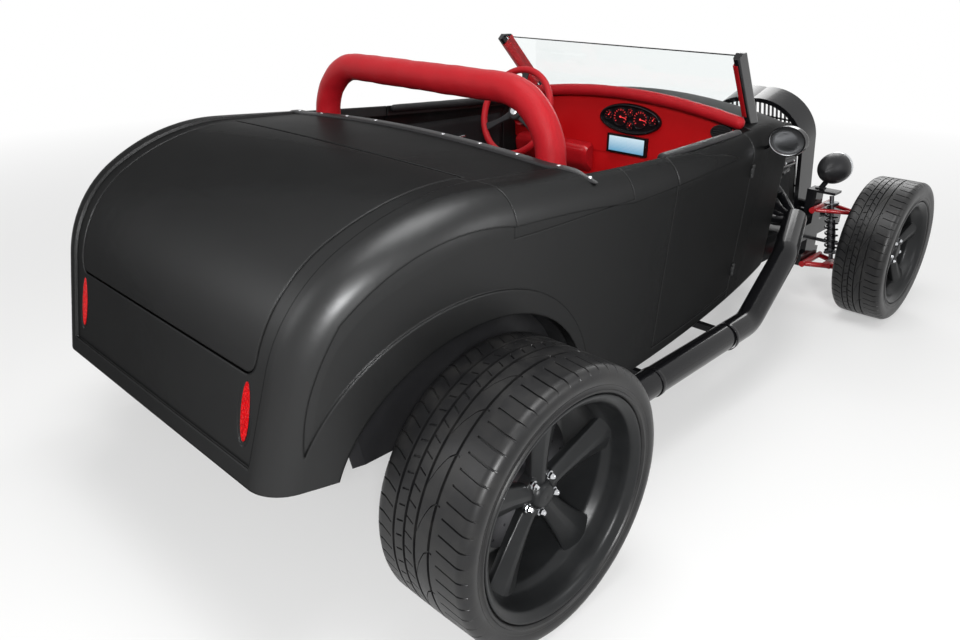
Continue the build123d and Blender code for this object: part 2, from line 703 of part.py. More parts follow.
def crossmembers():
    """Members between the rails: front, gearbox, shaft, two rear ones and the nose tube."""
    rail_low = RAIL_Z - RAIL_H / 2
    front = block((-RAIL_OUT, RAIL_OUT), (AXLE_Y - CROSS_HALF, AXLE_Y + CROSS_HALF), (222, rail_low))
    for side in (1, -1):
        front += block((side * (RAIL_OUT - 40), side * RAIL_OUT), (AXLE_Y - 100, AXLE_Y + 100),
                       (FRONT_Z - BALL_Z - PIVOT_R, 240))
    saddle = Pos(0, MOUNT_Y, GEARBOX_Z) * Rot(90, 0, 0) * Cylinder(GEARBOX_R, 100)
    pieces = [front]
    for y in (MOUNT_Y, SHAFT_CROSS_Y):
        pieces.append(block((-RAIL_OUT, RAIL_OUT), (y - 30, y + 30), (rail_low - 32, rail_low)) - saddle)
    rear = [block((-RAIL_IN, RAIL_IN), (y - 25, y + 25), (REAR_RAIL_Z - 25, REAR_RAIL_Z + 25))
            for y in REAR_CROSS_Y]
    y, z = REAR_TOW
    lug = block((-TOW_T / 2, TOW_T / 2), (y - TOW_R, y + TOW_R), (z - TOW_R, REAR_RAIL_Z))
    rear[1] = rear[1] + lug - rod((-TOW_T, y, z), (TOW_T, y, z), TOW_BORE_R)
    nose = rod((-RAIL_IN, NOSE_Y, RAIL_Z), (RAIL_IN, NOSE_Y, RAIL_Z), 22)
    tongue = block((-TOW_R, TOW_R), (NOSE_TOW_Y, NOSE_Y), (RAIL_Z - TOW_T / 2, RAIL_Z + TOW_T / 2))
    end = Pos(0, NOSE_TOW_Y, RAIL_Z)
    nose = Part(nose.wrapped) + tongue + end * Cylinder(TOW_R, TOW_T)
    pieces += rear + [nose - end * Cylinder(TOW_BORE_R, 2 * TOW_T)]
    return Compound(children=[solid for piece in pieces for solid in as_solids(piece)])


COIL_R, ROD_R = 34.0, 12.0
PAD_TOP = 12.0              # top of the coilover pad above the lower arm's centre line
SEAT_GAP = 0.3
LINK_SEAT = 40.0            # rear coilover seat below the axle line


def front_arms():
    """Upper and lower tubular arms, each with an eye on the kingpin line."""
    arms = []
    for z, spread, radius in ((FRONT_Z + BALL_Z, 90, 10), (FRONT_Z - BALL_Z, 95, 13)):
        arm = Pos(KINGPIN_X, AXLE_Y, z) * Cylinder(EYE_R, EYE_H)
        arm += rod((PIVOT_X, AXLE_Y - spread - 16, z), (PIVOT_X, AXLE_Y + spread + 16, z), PIVOT_R)
        for s in (1, -1):
            arm += rod((PIVOT_X, AXLE_Y + s * spread, z), (KINGPIN_X - 16, AXLE_Y + s * 10, z), radius)
        if z < FRONT_Z:
            arm += block((COIL_FOOT_X - 22, COIL_FOOT_X + 22), (AXLE_Y - 60, AXLE_Y + 60),
                         (z - 8, z + PAD_TOP))
        arm -= Pos(KINGPIN_X, AXLE_Y, z) * Cylinder(PIN_R + RUN_FIT, 2 * EYE_H)
        arms += as_solids(keep(arm)) + as_solids(mirrored(keep(arm)))
    return Compound(children=arms)


def coilover(foot, top, radius):
    """Damper rod inside a spring sleeve, cut level just clear of its two seats."""
    a, b = Vector(*foot), Vector(*top)
    plane = Plane(origin=a, z_dir=b - a)
    length = (b - a).length
    rod_part = plane * Pos(0, 0, length / 2) * Cylinder(ROD_R, length + 2 * ROD_R)
    spring = plane * Pos(0, 0, length / 2 + 6) * Cylinder(radius, length - 96)
    level = block((0, 900), (-3000, 900), (foot[2] + SEAT_GAP, top[2] - SEAT_GAP))
    return (rod_part + spring) & level


def coilovers():
    """Four coilovers: front ones lean in from the lower arms, rear ones behind the seat."""
    front = coilover((COIL_FOOT_X, AXLE_Y, FRONT_Z - BALL_Z + PAD_TOP),
                     (COIL_TOP_X, AXLE_Y, TOWER_TOP - TOWER_T), COIL_R)
    rear = coilover((LINK_X, -60, AXLE_Z - LINK_SEAT), (LINK_X, -150, REAR_RAIL_Z - 25), COIL_R - 6)
    pieces = []
    for piece in (front, rear):
        pieces += as_solids(piece) + as_solids(mirrored(piece))
    return Compound(children=pieces)


STUB_GAP = 34.0             # from the hub face back to the end of the stub axle
PLATE = (640.0, 668.0)      # caliper carrier, across the car


def hub_face(w):
    """Outer face of the wheel centre."""
    return w["face"] - w["dish"] - 6


def caliper(w, at):
    """Brake caliper straddling the disc, at an angle from straight back."""
    x, r = w["disc_x"], w["disc_r"]
    jaw = [(PLATE[1] - 2, r - 48), (x + 36, r - 48), (x + 36, r + 16), (PLATE[1] - 2, r + 16)]
    slot = [(x - 16, 0), (x + 16, 0), (x + 16, r + 5), (x - 16, r + 5)]
    ring = ring_x(jaw, w["y"], w["radius"]) - ring_x(slot, w["y"], w["radius"])
    zone = Pos(x, w["y"], w["radius"]) * Rot(at, 0, 0) * Pos(0, r, 0) * Box(200, 200, 140)
    return keep(ring & zone)


def carrier(w):
    """Disc shaped plate that carries the caliper."""
    x0, x1 = PLATE
    r = w["disc_r"] - 34
    return ring_x([(x0, 0), (x1, 0), (x1, r), (x0, r)], w["y"], w["radius"])


def knuckle():
    """Left upright with kingpins, stub axle, steering arm and brake caliper."""
    w = WHEEL["front"]
    reach = BALL_Z - EYE_H / 2 - 1
    body = block((KINGPIN_X - 22, KINGPIN_X + 22), (AXLE_Y - 24, AXLE_Y + 24),
                 (FRONT_Z - reach, FRONT_Z + reach))
    body += Pos(KINGPIN_X, AXLE_Y, FRONT_Z) * Cylinder(PIN_R, 2 * BALL_Z + EYE_H - 2)
    stub = rod((KINGPIN_X, AXLE_Y, FRONT_Z), (hub_face(w) - STUB_GAP, AXLE_Y, FRONT_Z), w["bore_r"])
    body += stub
    body += carrier(w)
    body += caliper(w, 0)
    body += block((KINGPIN_X - 14, KINGPIN_X + 14), (AXLE_Y - ARM_LENGTH - 14, AXLE_Y),
                  (TIE_Z - 34, TIE_Z - 16))
    return keep(body)


ARM_LENGTH = 118.0          # steering arm, kingpin to tie rod
TIE_Z = 266.0
RACK_HALF = 270.0
RACK_R = 22.0
TIE_R = 9.0


def steering_rack():
    """Rack housing bolted ahead of the front crossmember."""
    y = AXLE_Y - ARM_LENGTH
    tube = Pos(0, y, TIE_Z) * Rot(0, 90, 0) * Cylinder(RACK_R, 2 * RACK_HALF)
    for side in (1, -1):
        tube += block((side * 190, side * 240), (y, AXLE_Y - CROSS_HALF), (TIE_Z - 24, TIE_Z + 24))
    return tube - Pos(0, y, TIE_Z) * Rot(0, 90, 0) * Cylinder(TIE_R + RUN_FIT, 2000)


def tie_rods():
    """Rack bar and both tie rods as one sliding piece, with an eye over each steering arm."""
    y = AXLE_Y - ARM_LENGTH
    bar = Pos(0, y, TIE_Z) * Rot(0, 90, 0) * Cylinder(TIE_R, 2 * (KINGPIN_X - 10))
    for side in (1, -1):
        bar += Pos(side * KINGPIN_X, y, TIE_Z) * Cylinder(15, 20)
    return bar


LUGS = 5
LUG_CIRCLE, LUG_R = 52.0, 9.5


def spoke_star(plane, hub_r, middle, reach, widths):
    """Hub disc with spokes that narrow to a waist; widths are half ones at hub, waist and barrel."""
    root, waist, end = widths
    with BuildSketch() as one:
        with BuildLine():
            ThreePointArc((0, -root), (middle, -waist), (reach, -end))
            Line((reach, -end), (reach, end))
            ThreePointArc((reach, end), (middle, waist), (0, root))
            Line((0, root), (0, -root))
        make_face()
    star = Circle(min(hub_r, 4 * root))
    for i in range(SPOKES):
        star += Rot(0, 0, 90 + 360 / SPOKES * i) * one.sketch
    return plane * star


def rim(name):
    """Left rim: stepped barrel, dished five-spoke centre, hub, cap and brake disc in one."""
    w = WHEEL[name]
    lip, seat, face = w["lip"], w["seat"], w["face"]
    inner, hub = face - w["width"], hub_face(w)
    wall, drop = 9.0, 26.0
    step = face - w["dish"]
    barrel = [(inner, lip), (inner, seat - wall), (inner + 60, seat - drop - wall),
              (step - 6, seat - drop - wall), (step + 16, seat - 20),
              ((step + face) / 2 + 2, seat - 14), (face - 12, seat - 7), (face - 4, lip - 13),
              (face, lip - 6), (face, lip), (face - 9, lip), (face - 12, seat), (step + 26, seat),
              (step - 14, seat - drop), (inner + 66, seat - drop), (inner + 40, seat),
              (inner + 12, seat), (inner + 9, lip)]
    made = ring_x(barrel, w["y"], w["radius"])
    reach = seat - 18
    middle = 0.55 * seat
    dish = ring_x([(hub - 40, 0), (hub, 0), (hub, w["hub_r"]), (hub - 2, middle),
                   (step + 14, reach), (step - 34, seat - drop - wall + 2), (hub - 34, middle),
                   (hub - 40, w["hub_r"])], w["y"], w["radius"])
    ridge = ring_x([(hub - 6, 0), (hub + 5, 0), (hub + 5, w["hub_r"]), (hub + 6, middle),
                    (step + 22, reach), (step + 6, reach), (hub - 8, middle), (hub - 6, w["hub_r"])],
                   w["y"], w["radius"])
    plane = Plane(origin=(hub - 80, w["y"], w["radius"]), x_dir=(0, 1, 0), z_dir=(1, 0, 0))
    for form, widths in ((dish, (26, 27, 56)), (ridge, (9, 7, 12))):
        made += form & extrude(spoke_star(plane, w["hub_r"], middle, reach, widths), amount=140)
    made += ring_x([(hub, 0), (hub + 20, 0), (hub + 18, 16), (hub + 12, 28), (hub, 34)],
                   w["y"], w["radius"])
    for i in range(LUGS):
        turn = Pos(0, w["y"], w["radius"]) * Rot(360 / LUGS * (i + 0.5), 0, 0)
        made += turn * Pos(hub + 6, 0, LUG_CIRCLE) * Rot(0, 90, 0) * Cylinder(LUG_R, 20)
    x, hub_in = w["disc_x"], w["disc_x"] - 14
    made += ring_x([(hub_in, 0), (hub - 30, 0), (hub - 30, 62), (hub_in, 62)], w["y"], w["radius"])
    made += ring_x([(x - 9, 50), (x + 9, 50), (x + 9, w["disc_r"]), (x - 9, w["disc_r"])],
                   w["y"], w["radius"])
    bore = w["bore_r"] + RUN_FIT
    end = hub - STUB_GAP + 6
    made -= ring_x([(hub_in - 10, 0), (end, 0), (end, bore), (hub_in - 10, bore)],
                   w["y"], w["radius"])
    return keep(made)


def tyre(name):
    """Left tyre with rounded shoulders, seated on the rim."""
    w = WHEEL[name]
    lip, seat, face, r = w["lip"], w["seat"], w["face"], w["radius"]
    inner = face - w["width"]
    x0, x1 = inner - 6, face + 6
    outline = [(inner + 12, seat), (face - 12, seat), (face - 9, lip + 1), (x1, lip + 20),
               (x1, r - 26), (x1 - 24, r), (x0 + 24, r), (x0, r - 26), (x0, lip + 20),
               (inner + 9, lip + 1)]
    return ring_x(outline, w["y"], r)


def rear_axle():
    """Live axle with its centre, stub ends, links to the frame, carriers and calipers."""
    w = WHEEL["rear"]
    end = hub_face(w) - STUB_GAP
    made = Pos(0, 0, AXLE_Z) * Rot(0, 90, 0) * Cylinder(38, 1120)
    made += Pos(0, 0, AXLE_Z) * Rot(0, 90, 0) * Cylinder(115, 140)
    made += Pos(0, 0, AXLE_Z) * Rot(0, 90, 0) * Cylinder(w["bore_r"], 2 * end)
    for side in (1, -1):
        x = side * LINK_X
        made += rod((x, 0, AXLE_Z - 62), (x, LINK_Y + 12, RAIL_Z - 12), 13)
        made += block((x - 14, x + 14), (LINK_Y, LINK_Y + 24), (RAIL_Z - 30, RAIL_Z + 6))
        made += block((x - 16, x + 16), (-80, 30), (AXLE_Z - 76, AXLE_Z - LINK_SEAT))
        made += block((x - 12, x + 12), (-26, 26), (AXLE_Z - 70, AXLE_Z + 20))
    left = carrier(w) + caliper(w, 35)
    made += left
    made += mirrored(left)
    made += rod((0, 0, AXLE_Z), shaft_point(PINION_END), 50)
    return keep(made)


# Engine bay

ENGINE_Y = (-2560.0, -2010.0)
BANK_X, BANK_Z = 150.0, 620.0
BANK_W, BANK_L = 150.0, 260.0
HEAD_FACE = BANK_W / 2


def bank(side, shape, x=0.0, z=0.0):
    """Place a shape on one cylinder bank, in the bank's own leaning frame."""
    y = sum(ENGINE_Y) / 2
    return Pos(side * BANK_X, y, BANK_Z) * Rot(0, side * 45, 0) * Pos(side * x, 0, z) * shape


PULLEYS = [(0, 420, 80, 50), (0, 590, 58, 50), (-165, 505, 42, 40)]    # x, z, radius, depth
ALTERNATOR = (205.0, 500.0, 56.0, 130.0)        # x, z, radius, length
COVER_RIBS = 7


def engine_block():
    """Vee engine as a plain block: crankcase, sump, two banks, damper and mounts."""
    y0, y1 = ENGINE_Y
    made = block((-150, 150), (y0, y1), (300, 560)) + block((-110, 110), (y0 + 60, y1 - 40), (215, 302))
    for side in (1, -1):
        made += bank(side, Box(BANK_W, y1 - y0 - 20, BANK_L))
        made += block((side * 140, side * RAIL_IN), (-2330, -2270), (RAIL_Z - 20, RAIL_Z + 20))
    for x, z, radius, depth in PULLEYS:
        wheel = Cylinder(radius, depth) + Pos(0, 0, depth / 2 - 4) * Cylinder(radius + 6, 8)
        made += Pos(x, y0 - depth / 2 + 4, z) * Rot(90, 0, 0) * wheel
    x, z, radius, length = ALTERNATOR
    made += Pos(x, y0 + length / 2 - 20, z) * Rot(90, 0, 0) * Cylinder(radius, length)
    made += block((x - 90, x), (y0 + 20, y0 + 60), (z - 60, z))
    return keep(made)


INTAKE_RUNNERS = (-2440.0, -2340.0, -2240.0, -2140.0)
RUNNER_R = 24.0


def engine_top():
    """Intake manifold in the valley with its air cleaner, and two valve covers."""
    y0, y1 = ENGINE_Y
    pieces = []
    for side in (1, -1):
        cover = Box(126, y1 - y0 - 40, 60)
        cover = fillet(cover.edges().filter_by(Axis.Y).sort_by(Axis.Z)[2:], 18)
        for i in range(COVER_RIBS):
            cover += Pos((i - (COVER_RIBS - 1) / 2) * 12, 0, 32) * Box(4, y1 - y0 - 70, 6)
        pieces += as_solids(bank(side, cover, z=BANK_L / 2 + 30))
    slope = BANK_X - BANK_Z - BANK_W * math.cos(math.radians(45))
    low, high = 640.0, 740.0
    with BuildSketch(Plane.XZ.offset(-(y0 + 60))) as valley:
        Polygon((-low - slope, low), (low + slope, low), (high + slope, high), (-high - slope, high),
                align=None)
    intake = extrude(valley.sketch, amount=-(y1 - y0 - 120))
    middle = (y0 + y1) / 2
    intake += Pos(0, middle, high + 45) * Cylinder(62, 90)
    cleaner = Cylinder(150, 10) + Pos(0, 0, 30) * Cylinder(140, 60) + Pos(0, 0, 62) * Cylinder(152, 8)
    intake += Pos(0, middle, high + 86) * cleaner
    for y in INTAKE_RUNNERS:
        intake += Pos(0, y, high) * Rot(0, 90, 0) * Cylinder(RUNNER_R, 2 * (high - RUNNER_R + slope) - 4)
    return Compound(children=pieces + as_solids(intake))


PINION_END = 230.0          # pinion nose, ahead of the rear axle


def shaft_point(distance):
    """Point on the line from the rear axle to the gearbox tail."""
    line = Vector(0, MOUNT_Y + 60, GEARBOX_Z) - Vector(0, 0, AXLE_Z)
    return tuple(Vector(0, 0, AXLE_Z) + line.normalized() * distance)


def gearbox():
    """Bell housing, gearbox and propeller shaft to the rear axle."""
    front = ENGINE_Y[1]
    bell_end = -BODY_FRONT + 20
    made = Pos(0, (front + bell_end) / 2, GEARBOX_Z) * Rot(-90, 0, 0) * Cone(150, 105, bell_end - front)
    tail = MOUNT_Y + 60
    made += Pos(0, (bell_end + tail) / 2, GEARBOX_Z) * Rot(90, 0, 0) * Cylinder(GEARBOX_R, tail - bell_end)
    made += rod((0, tail, GEARBOX_Z), shaft_point(PINION_END), 34)
    return made


def head_pipe(y, side):
    """One exhaust primary from a port round to the collector."""
    c = math.cos(math.radians(45))
    px = BANK_X + (HEAD_FACE + 8) * c + PORT_UP * c
    pz = BANK_Z - (HEAD_FACE + 8) * c + PORT_UP * c
    points = [(px - 4, y, pz + 4), (px + 60, y, pz - 56), (470, y + 0.6 * (COLLECT[1] - y), 545),
              COLLECT]
    return pipe(points, PRIMARY_R, 34)


PORT_UP = 50.0
PORTS = (-2480.0, -2350.0, -2220.0, -2095.0)
PRIMARY_R = 22.0
SIDE_PIPE_R = 50.0
COLLECT = (560.0, -2040.0, 560.0)


def exhaust():
    """Left header flange, four primaries and the big side pipe under the sill."""
    y0, y1 = ENGINE_Y
    made = bank(1, Box(8, y1 - y0 - 40, 60), x=HEAD_FACE + 4, z=PORT_UP)
    for y in PORTS:
        made += head_pipe(y, 1)
    side_pipe = [(540, -2090, 560), (640, -1800, 490), (668, -1480, 300), (674, -640, 300)]
    made += pipe(side_pipe, SIDE_PIPE_R, 150)
    for y in (-1300.0, -800.0):
        made += block((RAIL_OUT, 640), (y - 12, y + 12), (300, 324))
    return keep(made)


SHELL_HALF, SHELL_TOP, SHELL_LOW = 270.0, 1025.0, 430.0
SHELL_TAPER = 12.0          # how much narrower each side is at the bottom
SHELL_R = 175.0
SHELL_Y = (-2955.0, -2805.0)
SHELL_T = 20.0
SHELL_RAKE = 16.0           # degrees that the shell, bars and radiator lean back
CORE_T = 50.0
GRILLE_POINT = 40.0         # how far the middle of the grille stands forward


def shell_outline(inset, y, low=SHELL_LOW):
    """Rounded arch outline of the radiator shell."""
    half, top = SHELL_HALF - inset, SHELL_TOP - inset
    r = SHELL_R - inset
    with BuildSketch(Plane.XZ.offset(-y)) as arch:
        with BuildLine():
            Line((-half + SHELL_TAPER, low), (half - SHELL_TAPER, low))
            Line((half - SHELL_TAPER, low), (half, top - r - 60))
            Line((-half + SHELL_TAPER, low), (-half, top - r - 60))
            ThreePointArc((half, top - r - 60), (half * 0.74, top - 62), (0, top))
            ThreePointArc((-half, top - r - 60), (-half * 0.74, top - 62), (0, top))
        make_face()
    return arch.sketch


def raked(piece):
    """Lean a piece of the front back about the lower front edge of the shell."""
    return Pos(0, SHELL_Y[0], SHELL_LOW) * Rot(-SHELL_RAKE, 0, 0) * Pos(0, -SHELL_Y[0], -SHELL_LOW) * piece


def grille_shell():
    """Painted radiator shell, open in front and behind."""
    depth = SHELL_Y[1] - SHELL_Y[0]
    shell = extrude(shell_outline(0, SHELL_Y[1]), amount=depth)
    shell -= extrude(shell_outline(SHELL_T, SHELL_Y[1], SHELL_LOW + SHELL_T), amount=depth)
    bar = block((-RAIL_OUT, RAIL_OUT), (SHELL_Y[0] + 25, SHELL_Y[0] + 55),
                (RAIL_Z + RAIL_H / 2, SHELL_LOW - 4))
    return keep(raked(shell) + bar)


def radiator():
    """Radiator core standing in the back of the shell."""
    low = SHELL_LOW + SHELL_T
    half = SHELL_HALF - SHELL_TAPER - SHELL_T - 28
    return raked(block((-half, half), (SHELL_Y[1] - CORE_T, SHELL_Y[1]), (low, SHELL_TOP - 130)))


BAR_PITCH = 24.0


def grille_bars():
    """Upright grille bars in a pointed row, tied by three cross bars."""
    y_edge = SHELL_Y[0] + 60
    inner = extrude(shell_outline(SHELL_T, SHELL_Y[1], SHELL_LOW + SHELL_T), amount=400)
    count = int((SHELL_HALF - SHELL_T) / BAR_PITCH)
    bars = None
    for i in range(-count, count + 1):
        x = i * BAR_PITCH
        y = y_edge - GRILLE_POINT * (1 - abs(x) / SHELL_HALF)
        one = block((x - 2.5, x + 2.5), (y - 8, y + 8), (SHELL_LOW, SHELL_TOP))
        bars = one if bars is None else bars + one
    half = SHELL_HALF
    for z in (520.0, 700.0, 880.0):
        for side in (1, -1):
            with BuildSketch(Plane.XY.offset(z - 4)) as tie:
                Polygon((0, y_edge - GRILLE_POINT - 3), (side * half, y_edge - 3),
                        (side * half, y_edge + 5), (0, y_edge - GRILLE_POINT + 5), align=None)
            bars += extrude(tie.sketch, amount=8)
    return raked(keep(bars & inner))


# Lamps and mirrors

LAMP_X, LAMP_Y, LAMP_Z, LAMP_R = 440.0, -2700.0, 664.0, 74.0


def headlights():
    """Bullet headlamps on stalks from the suspension towers."""
    with BuildPart() as bullet:
        with BuildSketch(Plane.YZ):
            with BuildLine():
                Line((-62, 0), (-62, LAMP_R))
                Line((-62, LAMP_R), (-40, LAMP_R))
                ThreePointArc((-40, LAMP_R), (50, LAMP_R * 0.72), (96, 0))
                Line((96, 0), (-62, 0))
            make_face()
        revolve(axis=Axis.Y)
    lamp = Pos(LAMP_X, LAMP_Y, LAMP_Z) * bullet.part
    lamp += rod((RAIL_X + 20, LAMP_Y, TOWER_TOP), (LAMP_X - 4, LAMP_Y, LAMP_Z - 40), 13)
    lamp -= block((0, 900), (LAMP_Y - 90, LAMP_Y + 90), (0, TOWER_TOP))
    lamp += block((RAIL_X, RAIL_X + 40), (LAMP_Y - 20, LAMP_Y + 20), (TOWER_TOP, TOWER_TOP + 6))
    return both(keep(lamp))


TAIL_LAMP_X, TAIL_LAMP_Z = 446.0, 655.0
TAIL_LAMP_HALF = (17.0, 72.0)
POCKET_HALF = (29.0, 84.0)   # shallow leaf pocket around each lamp
POCKET_SINK, LAMP_SINK = 4.0, 14.0
TAIL_LEAN = math.atan2(TAIL_Z - TAIL_BOTTOM, TAIL_END - TAIL_Y)


def lamp_form(side, half, depth):
    """Upright oval sunk into the tail panel."""
    lean = math.pi / 2 - TAIL_LEAN
    y = TAIL_Y + (TAIL_Z - TAIL_LAMP_Z) * math.tan(lean)
    normal = (0, math.cos(lean), math.sin(lean))
    plane = Plane(origin=(side * TAIL_LAMP_X, y, TAIL_LAMP_Z), x_dir=(1, 0, 0), z_dir=normal)
    with BuildSketch(plane) as oval:
        Ellipse(*half)
    return extrude(oval.sketch, amount=40) + extrude(oval.sketch, amount=-depth)


def tail_lamps():
    """Two upright red lamps let into the tail."""
    skin = body_volume(0)
    lamp = keep(lamp_form(1, TAIL_LAMP_HALF, LAMP_SINK) & skin)
    return both(lamp)


MIRROR = (700.0, -1512.0, 1004.0)


def mirrors(cowl):
    """Oval mirrors on short arms from the cowl sides."""
    x, y, z = MIRROR
    plane = Plane(origin=(x, y, z), x_dir=(1, 0, 0), z_dir=(0, 1, 0))
    with BuildSketch(plane) as oval:
        Ellipse(68, 52)
    head = extrude(oval.sketch, amount=18, both=True)
    head = fillet(head.edges().sort_by(Axis.Y)[0], 10)
    arm = rod((x - 20, y - 4, z), (half_width(y) - 30, y - 40, z - 50), 7)
    mirror_left = keep(head + (arm - cowl))
    return both(mirror_left)


def fuel_tank():
    """Tank under the boot floor, behind the axle."""
    tank = block((-300, 300), (140, 370), (412, REAR_FLOOR_Z - FLOOR_T))
    return fillet(tank.edges().filter_by(Axis.X).sort_by(Axis.Z)[:2], 30)


def all_parts():
    """Every piece by its node name, in the layout from the rear axle."""
    parts = body_panels()
    for side in (1, -1):
        parts["body_tub"] -= lamp_form(side, POCKET_HALF, POCKET_SINK)
        parts["body_tub"] -= lamp_form(side, TAIL_LAMP_HALF, LAMP_SINK)
    parts.update(
        floor_pan=floor_pan(), wheel_tubs=wheel_tubs(), dash=dash(), dash_pad=dash_pad(), instruments=instruments(),
        steering_column=steering_column(), steering_wheel=steering_wheel(), seat=seat(),
        seat_back=seat_back(), roll_bar=roll_bar(), windshield_posts=windshield_posts(),
        windshield_glass=windshield_glass(), frame_rails=frame_rails(), crossmembers=crossmembers(),
        front_arms=front_arms(), coilovers=coilovers(), steering_rack=steering_rack(),
        tie_rods=tie_rods(), rear_axle=rear_axle(), engine_block=engine_block(),
        engine_top=engine_top(), gearbox=gearbox(), exhausts=both(exhaust()),
        radiator=radiator(), grille_shell=grille_shell(), grille_bars=grille_bars(),
        headlights=headlights(), tail_lamps=tail_lamps(), mirrors=mirrors(parts["cowl"]),
        fuel_tank=fuel_tank())
    card, upright = door_card(), knuckle()
    parts.update(door_card_left=card, door_card_right=mirrored(card),
                 knuckle_left=upright, knuckle_right=mirrored(upright))
    for name in WHEEL:
        wheel_rim, wheel_tyre = rim(name), tyre(name)
        parts[f"rim_{name}_left"] = wheel_rim
        parts[f"rim_{name}_right"] = mirrored(wheel_rim)
        parts[f"tyre_{name}_left"] = wheel_tyre
        parts[f"tyre_{name}_right"] = mirrored(wheel_tyre)
    return parts


def main():
    os.makedirs("parts", exist_ok=True)
    parts = all_parts()
    tail = parts["body_tub"].bounding_box().max.Y
    shift = Pos(0, (FRAME_NOSE - tail) / 2, 0)
    for name, piece in parts.items():
        export_step(shift * piece, f"parts/{name}.step")


main()
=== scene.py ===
# %% [markdown]
# # Street rod roadster: the looks
# The packed CAD model is the fixed frame. This file gives every CAD piece a procedural finish and adds
# the surfaces that the solids keep plain: tread, wheel spokes, padding, gauges, springs and trim.
# Lengths are metres, +Y points to the tail, +X to the car's left side and +Z up. Places along the car
# are measured from the rear axle, and SHIFT moves them into the frame.

# %% Load the packed frame
import math

import bmesh
import bpy
import numpy as np
from mathutils import Matrix, Vector
from mathutils.bvhtree import BVHTree


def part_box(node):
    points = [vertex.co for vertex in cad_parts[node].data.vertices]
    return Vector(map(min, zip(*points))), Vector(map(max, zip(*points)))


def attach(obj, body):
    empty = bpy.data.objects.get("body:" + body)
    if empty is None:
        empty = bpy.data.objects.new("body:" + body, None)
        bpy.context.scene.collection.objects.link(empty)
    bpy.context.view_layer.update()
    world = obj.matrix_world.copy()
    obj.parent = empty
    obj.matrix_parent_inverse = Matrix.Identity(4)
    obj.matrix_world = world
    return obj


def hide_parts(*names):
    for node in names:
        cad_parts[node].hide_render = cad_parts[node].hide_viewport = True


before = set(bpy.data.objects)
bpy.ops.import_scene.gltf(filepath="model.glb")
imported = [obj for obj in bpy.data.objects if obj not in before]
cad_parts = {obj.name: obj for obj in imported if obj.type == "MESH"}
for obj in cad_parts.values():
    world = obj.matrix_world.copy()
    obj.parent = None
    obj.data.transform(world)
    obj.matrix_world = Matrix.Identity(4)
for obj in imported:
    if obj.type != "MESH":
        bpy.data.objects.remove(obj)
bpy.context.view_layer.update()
NOSE_TO_AXLE = 3.040
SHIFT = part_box("frame_rails")[0].y + NOSE_TO_AXLE
print("nodes", len(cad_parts), "rear axle at y", round(SHIFT, 4))

# %% [markdown]
# ## Camera
# The photograph was taken from behind and above the right rear wheel. The place, the turn and the lens
# were fitted to the wheel, the belt line, the tail lamps and the windshield posts, so a picture from
# here can be laid over the photograph.

# %% Camera
YAW, PITCH, ROLL = math.radians(44.07), math.radians(24.17), math.radians(0.44)
EYE = Vector((-1.869, 1.260 + SHIFT, 1.559))
FOCAL_PX, WIDTH_PX = 787.24, 960
FILM = 36.0

look = Vector((math.sin(YAW) * math.cos(PITCH), -math.cos(YAW) * math.cos(PITCH), -math.sin(PITCH)))
right = look.cross(Vector((0, 0, 1))).normalized()
up = right.cross(look)
right, up = (math.cos(ROLL) * right + math.sin(ROLL) * up, math.cos(ROLL) * up - math.sin(ROLL) * right)
camera = bpy.data.objects.new("camera", bpy.data.cameras.new("camera"))
camera.data.sensor_width = FILM
camera.data.lens = FILM * FOCAL_PX / WIDTH_PX
camera.data.clip_end = 90.0
camera.matrix_world = Matrix((
    (right.x, up.x, -look.x, EYE.x), (right.y, up.y, -look.y, EYE.y),
    (right.z, up.z, -look.z, EYE.z), (0, 0, 0, 1)))
bpy.context.scene.collection.objects.link(camera)
bpy.context.scene.camera = camera
print("lens", round(camera.data.lens, 2), "mm")

# %% [markdown]
# ## Shader tools
# A material is a small program on points of the surface. It could be wired node by node, but sums are
# easier to read as sums, so `Sock` wraps a shader value and turns Python arithmetic into Math nodes.
# `Finish` holds one material, and its `node` method makes every other kind of node.

# %% Shader arithmetic
def reckon(tree, operation, *values):
    """Math node on values, each a Sock or a number."""
    made = tree.nodes.new("ShaderNodeMath")
    made.operation = operation
    for slot, value in zip(made.inputs, values):
        if isinstance(value, Sock):
            tree.links.new(value.socket, slot)
        else:
            slot.default_value = value
    return Sock(tree, made.outputs[0])


class Sock:
    """One shader value. +, -, * and / on it make Math nodes and give a new Sock."""

    def __init__(self, tree, socket):
        self.tree, self.socket = tree, socket

    def math(self, operation, *others):
        return reckon(self.tree, operation, self, *others)

    def __add__(self, other):
        return self.math("ADD", other)

    def __sub__(self, other):
        return self.math("SUBTRACT", other)

    def __mul__(self, other):
        return self.math("MULTIPLY", other)

    def __truediv__(self, other):
        return self.math("DIVIDE", other)

    def __rsub__(self, other):
        return reckon(self.tree, "SUBTRACT", other, self)

    __radd__, __rmul__ = __add__, __mul__


def ramp(sock, low, high):
    """0 below low, 1 above high, straight between."""
    return ((sock - low) / (high - low)).math("MAXIMUM", 0.0).math("MINIMUM", 1.0)


def shade(color, share):
    """The colour times a share."""
    return tuple(c * share for c in color)


print("shader arithmetic: + - * / and 1 - mask")


